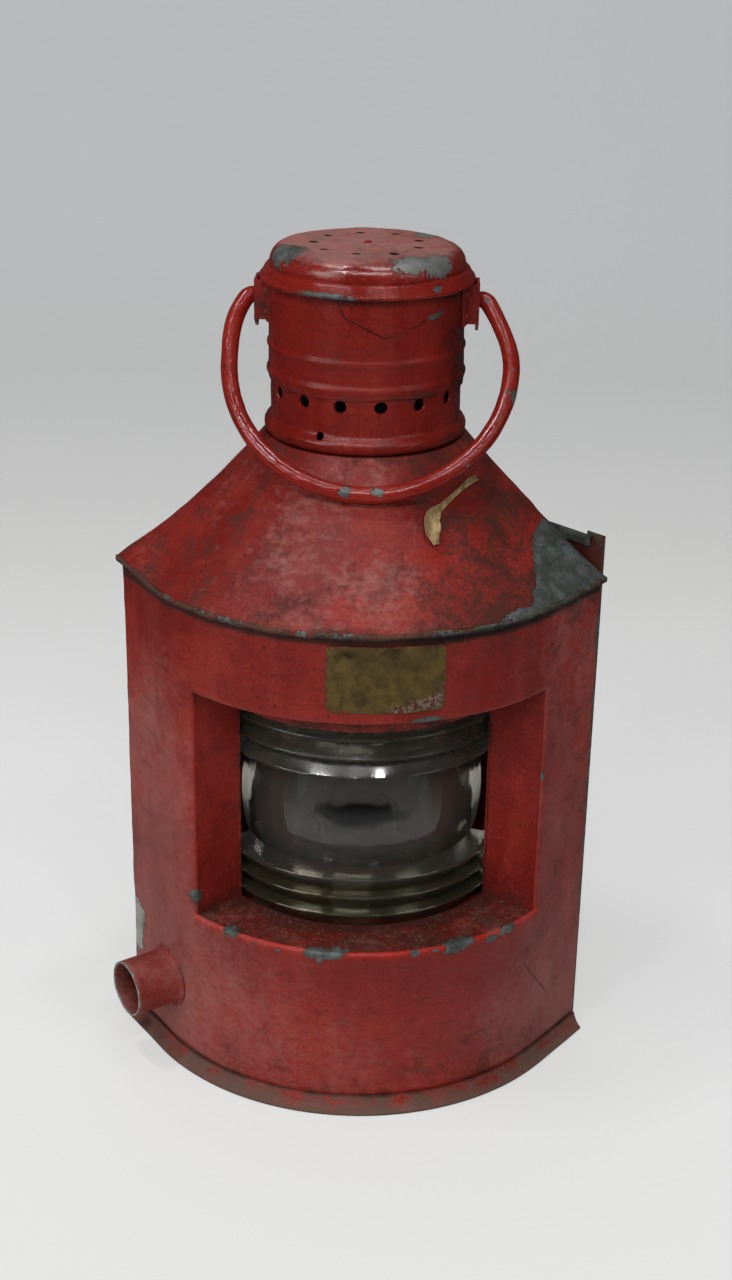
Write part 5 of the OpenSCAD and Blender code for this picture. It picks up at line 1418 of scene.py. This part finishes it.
class LAMP_OT_plate(Operator):
    """Bends the bare brass plate to the nose, with paint over its edges"""
    bl_idname = "lamp.plate"
    bl_label = "Brass plate"

    def execute(self, context):
        w, h, c = PLATE_W / 2, PLATE_H / 2, 4.0
        patch = Patchwork()
        patch.rows([[(u, v) for u in spread(-1, (46, 1))] for v in spread(-1, (28, 1))])

        def bend(u, v):
            x, y = u * w, v * h
            dx, dy = abs(x) - (w - c), abs(y) - (h - c)
            if dx > 0 and dy > 0:
                share = max(dx, dy) / math.hypot(dx, dy)
                x = math.copysign(w - c + dx * share, x)
                y = math.copysign(h - c + dy * share, y)
            near = max(abs(u), abs(v)) ** 6
            ragged = 0.25 * near * wobble(x, y, 0, 5, 101)
            x, y = x * (1 + ragged / w), y * (1 + ragged / h)
            lift = 0.35 + 0.16 * wobble(x, y, 0, 13, 102) + 0.07 * wobble(x, y, 0, 5, 103) - 0.15 * near
            turn = PLATE_TURN + math.degrees(x / NOSE_R)
            p = nose_ray(turn, NOSE_R + 0.05 + lift)
            return p.x, p.y, PLATE_Z0 + h + y

        plate = patch.build("brass_plate", bend)
        apply_modifier(plate, "SOLIDIFY", thickness=0.5 * MM, offset=-1.0)
        co = places(plate)
        turn = np.degrees(np.arctan2(co[:, 0], NOSE_Y - co[:, 1])) - PLATE_TURN
        across, up = np.radians(turn) * NOSE_R / w, (co[:, 2] - PLATE_Z0 - h) / h
        rim = np.clip((np.maximum(np.abs(across), np.abs(up * 1.0)) - 0.8) / 0.2, 0, 1)
        crust = spots(co, PLATE_CRUST)
        mark(plate, paint=0.5 * rim, crust=crust)
        settle(plate, "casing", "old_brass", finish("old brass"), "name_plate")
        return {"FINISHED"}


class LAMP_OT_inlet(Operator):
    """Turns the stub of pipe low on the left and solders it to the flat"""
    bl_idname = "lamp.inlet"
    bl_label = "Inlet pipe"

    def execute(self, context):
        profile = [(PIPE_BORE, -PIPE_IN), (PIPE_BORE, 8), (PIPE_BORE, 16), (PIPE_BORE + 0.02, PIPE_OUT - 1.5), (PIPE_BORE + 0.2, PIPE_OUT - 0.3),
                   (PIPE_BORE + 0.5, PIPE_OUT - 0.02), (PIPE_R - 0.4, PIPE_OUT), (PIPE_R - 0.05, PIPE_OUT - 0.3)]
        profile += [(PIPE_R, z) for z in spread(PIPE_OUT - 1.2, (10, 4.0))]
        profile += [(PIPE_R + 0.2, 2.6), (PIPE_R + 0.6, 1.5), (PIPE_R + 1.3, 0.7), (PIPE_R + 2.2, 0.25), (PIPE_R + 2.3, -0.2),
                    (PIPE_R, -0.25), (PIPE_R, -PIPE_IN)]
        pipe = lathe("inlet_stub", profile, steps=72, closed=True)
        face_outwards(pipe)
        ripple(pipe, 0.14, 9, 111, hold=lambda co: np.clip((co[:, 2] - 3) / 4, 0, 1))
        turn = PIPE_WAY.to_track_quat("Z", "Y").to_matrix().to_4x4()
        pipe.data.transform(Matrix.Translation(PIPE_ROOT * MM) @ turn)
        co = places(pipe)
        along = (co - np.array(PIPE_ROOT)) @ np.array(PIPE_WAY)
        off_axis = co - np.array(PIPE_ROOT) - along[:, None] * np.array(PIPE_WAY)
        r = np.linalg.norm(off_axis, axis=1)
        mouth = np.clip((along - PIPE_OUT + 2.2) / 2.2, 0, 1)
        inside = np.clip((PIPE_BORE + 0.5 - r) / 0.3, 0, 1)
        foot = np.clip((4 - along) / 4, 0, 1)
        # Painted shade: the bore is darkened more the deeper it goes, through the soot field
        mark(pipe, bare=0.62 * mouth, grime=0.7 * inside + 0.35 * foot, dust=0.3 + 0.4 * mouth, pale=0.7 * mouth,
             soot=inside * np.clip((PIPE_OUT - along) / 34, 0, 0.8))
        settle(pipe, "casing", "red_paint", finish("red paint"), "inlet_pipe", angle=50)
        return {"FINISHED"}


class LAMP_OT_edges(Operator):
    """Eases the edges of the plates that stay as the frame has them"""
    bl_idname = "lamp.edges"
    bl_label = "Eased edges"

    def execute(self, context):
        for node in ("bail_ear_left", "bail_ear_right", "mount_socket", "door_guide_corner", "door_guide_apex"):
            bevel = frame["nodes"][node].modifiers.new("Eased", "BEVEL")
            bevel.width = 0.25 * MM
            bevel.segments = 2
            bevel.limit_method = "ANGLE"
            bevel.angle_limit = math.radians(40)
        return {"FINISHED"}


class LAMP_OT_stage(Operator):
    """Sets the pale floor and backdrop, the soft lamps and the camera"""
    bl_idname = "lamp.stage"
    bl_label = "Stage"

    def execute(self, context):
        scene = context.scene
        bpy.ops.object.select_all(action="DESELECT")
        bpy.ops.mesh.primitive_plane_add(size=1)
        sweep_ = context.active_object
        sweep_.name = "backdrop"
        section = [(-4.0, 0.0), (-1.2, 0.0), (0.4, 0.0), (0.75, 0.0)]
        section += [(0.75 + 0.5 * math.sin(math.radians(a)), 0.5 - 0.5 * math.cos(math.radians(a))) for a in range(10, 91, 10)]
        section += [(1.25, 1.4), (1.25, 3.0)]
        mesh = bpy.data.meshes.new("backdrop")
        points = [(x, y, z) for y, z in section for x in (-4, 4)]
        mesh.from_pydata(points, [], [(2 * i, 2 * i + 1, 2 * i + 3, 2 * i + 2) for i in range(len(section) - 1)])
        sweep_.data = mesh
        pick(sweep_)
        bpy.ops.object.shade_smooth()

        f = Finish("paper sweep")
        # The sweep's tone runs from pale on the near floor to darker up the backdrop, a painted fall-off of the light;
        # the camera sees it partly as glow
        y, z = (f.node("ShaderNodeSeparateXYZ", {0: f.coords}).outputs[k] for k in ("Y", "Z"))
        along = f.math("ADD", y, f.math("MULTIPLY", z, 1.2))
        ramp = f.node("ShaderNodeValToRGB", {0: f.fade(along, -0.6, 1.9)})
        ramp.color_ramp.elements[0].color = srgb(229, 229, 228)
        ramp.color_ramp.elements[1].color = srgb(188, 189, 191)
        for at, tone in ((0.28, srgb(224, 225, 224)), (0.55, srgb(207, 208, 206)), (0.78, srgb(188, 189, 189))):
            ramp.color_ramp.elements.new(at).color = tone
        tone = ramp.outputs[0]
        plain = f.node("ShaderNodeBsdfDiffuse", {"Color": srgb(225, 225, 224)})
        lit = f.node("ShaderNodeBsdfDiffuse", {"Color": tone})
        glow = f.node("ShaderNodeEmission", {"Color": tone, "Strength": 1.05})
        seen = f.node("ShaderNodeMixShader", {0: 0.55, 1: lit.outputs[0], 2: glow.outputs[0]})
        path = f.node("ShaderNodeLightPath").outputs
        direct = f.math("MAXIMUM", path["Is Camera Ray"], path["Is Transmission Ray"])
        both = f.node("ShaderNodeMixShader", {0: direct, 1: plain.outputs[0], 2: seen.outputs[0]})
        away = f.node("ShaderNodeVectorMath", {0: f.coords}, operation="LENGTH").outputs["Value"]
        dim = f.node("ShaderNodeBsdfDiffuse", {"Color": f.mix(f.fade(away, 0.22, 0.6), srgb(205, 205, 204), srgb(56, 56, 56))})
        both = f.node("ShaderNodeMixShader", {0: path["Is Glossy Ray"], 1: both.outputs[0], 2: dim.outputs[0]})
        f.node("ShaderNodeOutputMaterial", {"Surface": both.outputs[0]})
        mesh.materials.append(f.material)

        world = bpy.data.worlds.new("Studio")
        scene.world = world
        world.use_nodes = True
        nodes, links = world.node_tree.nodes, world.node_tree.links
        room, path = nodes["Background"], nodes.new("ShaderNodeLightPath")
        room.inputs["Color"].default_value = (0.93, 0.96, 1.0, 1.0)
        room.inputs["Strength"].default_value = 0.17
        gloom, choice = nodes.new("ShaderNodeBackground"), nodes.new("ShaderNodeMixShader")
        gloom.inputs["Color"].default_value = (0.93, 0.96, 1.0, 1.0)
        gloom.inputs["Strength"].default_value = 0.06
        links.new(path.outputs["Is Glossy Ray"], choice.inputs[0])
        links.new(room.outputs[0], choice.inputs[1])
        links.new(gloom.outputs[0], choice.inputs[2])
        pale, shown = nodes.new("ShaderNodeBackground"), nodes.new("ShaderNodeMixShader")
        pale.inputs["Color"].default_value = srgb(196, 197, 198)
        links.new(path.outputs["Is Camera Ray"], shown.inputs[0])
        links.new(choice.outputs[0], shown.inputs[1])
        links.new(pale.outputs[0], shown.inputs[2])
        links.new(shown.outputs[0], nodes["World Output"].inputs["Surface"])

        def area(name, place, aim, size, power):
            data = bpy.data.lights.new(name, "AREA")
            data.shape, data.size, data.size_y, data.energy = "RECTANGLE", size[0], size[1], power
            lamp = bpy.data.objects.new(name, data)
            scene.collection.objects.link(lamp)
            lamp.location = place
            lamp.rotation_mode = "QUATERNION"
            lamp.rotation_quaternion = (Vector(aim) - Vector(place)).to_track_quat("-Z", "Y")
            return lamp

        area("ceiling left", (-0.8, -0.2, 2.4), (0, 0, 0.25), (0.4, 0.14), 11.2)
        area("ceiling right", (0.38, -0.3, 2.5), (0, 0, 0.25), (0.3, 0.12), 7.4)
        area("front left", (-0.82, -1.3, 1.75), (0, 0, 0.25), (0.36, 0.12), 8.0)
        area("front middle", (-0.04, -1.4, 1.6), (0, 0, 0.25), (0.14, 0.1), 2.9)
        area("front right", (0.48, -1.3, 1.7), (0, 0, 0.25), (0.22, 0.1), 4.3)
        area("window", (-1.9, -1.6, 1.1), (0, 0, 0.2), (1.2, 1.0), 13.8)
        soft = area("soft front", (-0.15, -2.1, 1.75), (0, 0, 0.2), (1.4, 0.6), 11.6)
        soft.visible_glossy = False
        area("fill", (1.9, -1.4, 1.2), (0, 0, 0.2), (1.0, 1.0), 3.9)

        data = bpy.data.cameras.new("Camera")
        data.sensor_width = 36.0
        data.lens = 1913.5 / 1280 * 36.0
        data.clip_start, data.clip_end = 0.05, 30.0
        camera = bpy.data.objects.new("Camera", data)
        scene.collection.objects.link(camera)
        dip, roll = math.radians(23.06), math.radians(1.0)
        level = Vector((-0.0291, 0.9996, 0)).normalized()
        ahead = (level * math.cos(dip) - Vector((0, 0, math.sin(dip)))).normalized()
        right = ahead.cross(Vector((0, 0, 1))).normalized()
        up = right.cross(ahead)
        right_, up_ = right * math.cos(roll) + up * math.sin(roll), up * math.cos(roll) - right * math.sin(roll)
        turn = Matrix((right_, up_, -ahead)).transposed().to_4x4()
        camera.matrix_world = Matrix.Translation((0.0301, -0.9506, 0.6291)) @ turn
        scene.camera = camera
        scene.view_settings.view_transform = "Standard"
        return {"FINISHED"}


class LAMP_PT_panel(Panel):
    """Lists the lamp's pieces in the order in which they are made"""
    bl_label = "Ship's Oil Lamp"
    bl_idname = "LAMP_PT_panel"
    bl_space_type = "VIEW_3D"
    bl_region_type = "UI"
    bl_category = "Lamp"

    def draw(self, context):
        column = self.layout.column()
        for group in (context.scene.lamp_shape, context.scene.lamp_look):
            for name in group.bl_rna.properties.keys():
                if name not in ("name", "rna_type"):
                    column.prop(group, name)
        for operator in OPERATORS:
            column.operator(operator.bl_idname)


OPERATORS = (LAMP_OT_finishes, LAMP_OT_front, LAMP_OT_recess, LAMP_OT_crust, LAMP_OT_roof, LAMP_OT_back, LAMP_OT_foot, LAMP_OT_chimney,
             LAMP_OT_bail, LAMP_OT_shred, LAMP_OT_lens, LAMP_OT_plate, LAMP_OT_inlet, LAMP_OT_edges, LAMP_OT_stage)
CLASSES = (LampShape, LampLook, *OPERATORS, LAMP_PT_panel)


def register():
    for cls in CLASSES:
        bpy.utils.register_class(cls)
    bpy.types.Scene.lamp_shape = PointerProperty(type=LampShape)
    bpy.types.Scene.lamp_look = PointerProperty(type=LampLook)


def unregister():
    del bpy.types.Scene.lamp_look
    del bpy.types.Scene.lamp_shape
    for cls in reversed(CLASSES):
        bpy.utils.unregister_class(cls)


def main():
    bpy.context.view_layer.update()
    register()
    for operator in OPERATORS:
        group, name = operator.bl_idname.split(".")
        getattr(getattr(bpy.ops, group), name)()


if __name__ == "__main__":
    main()
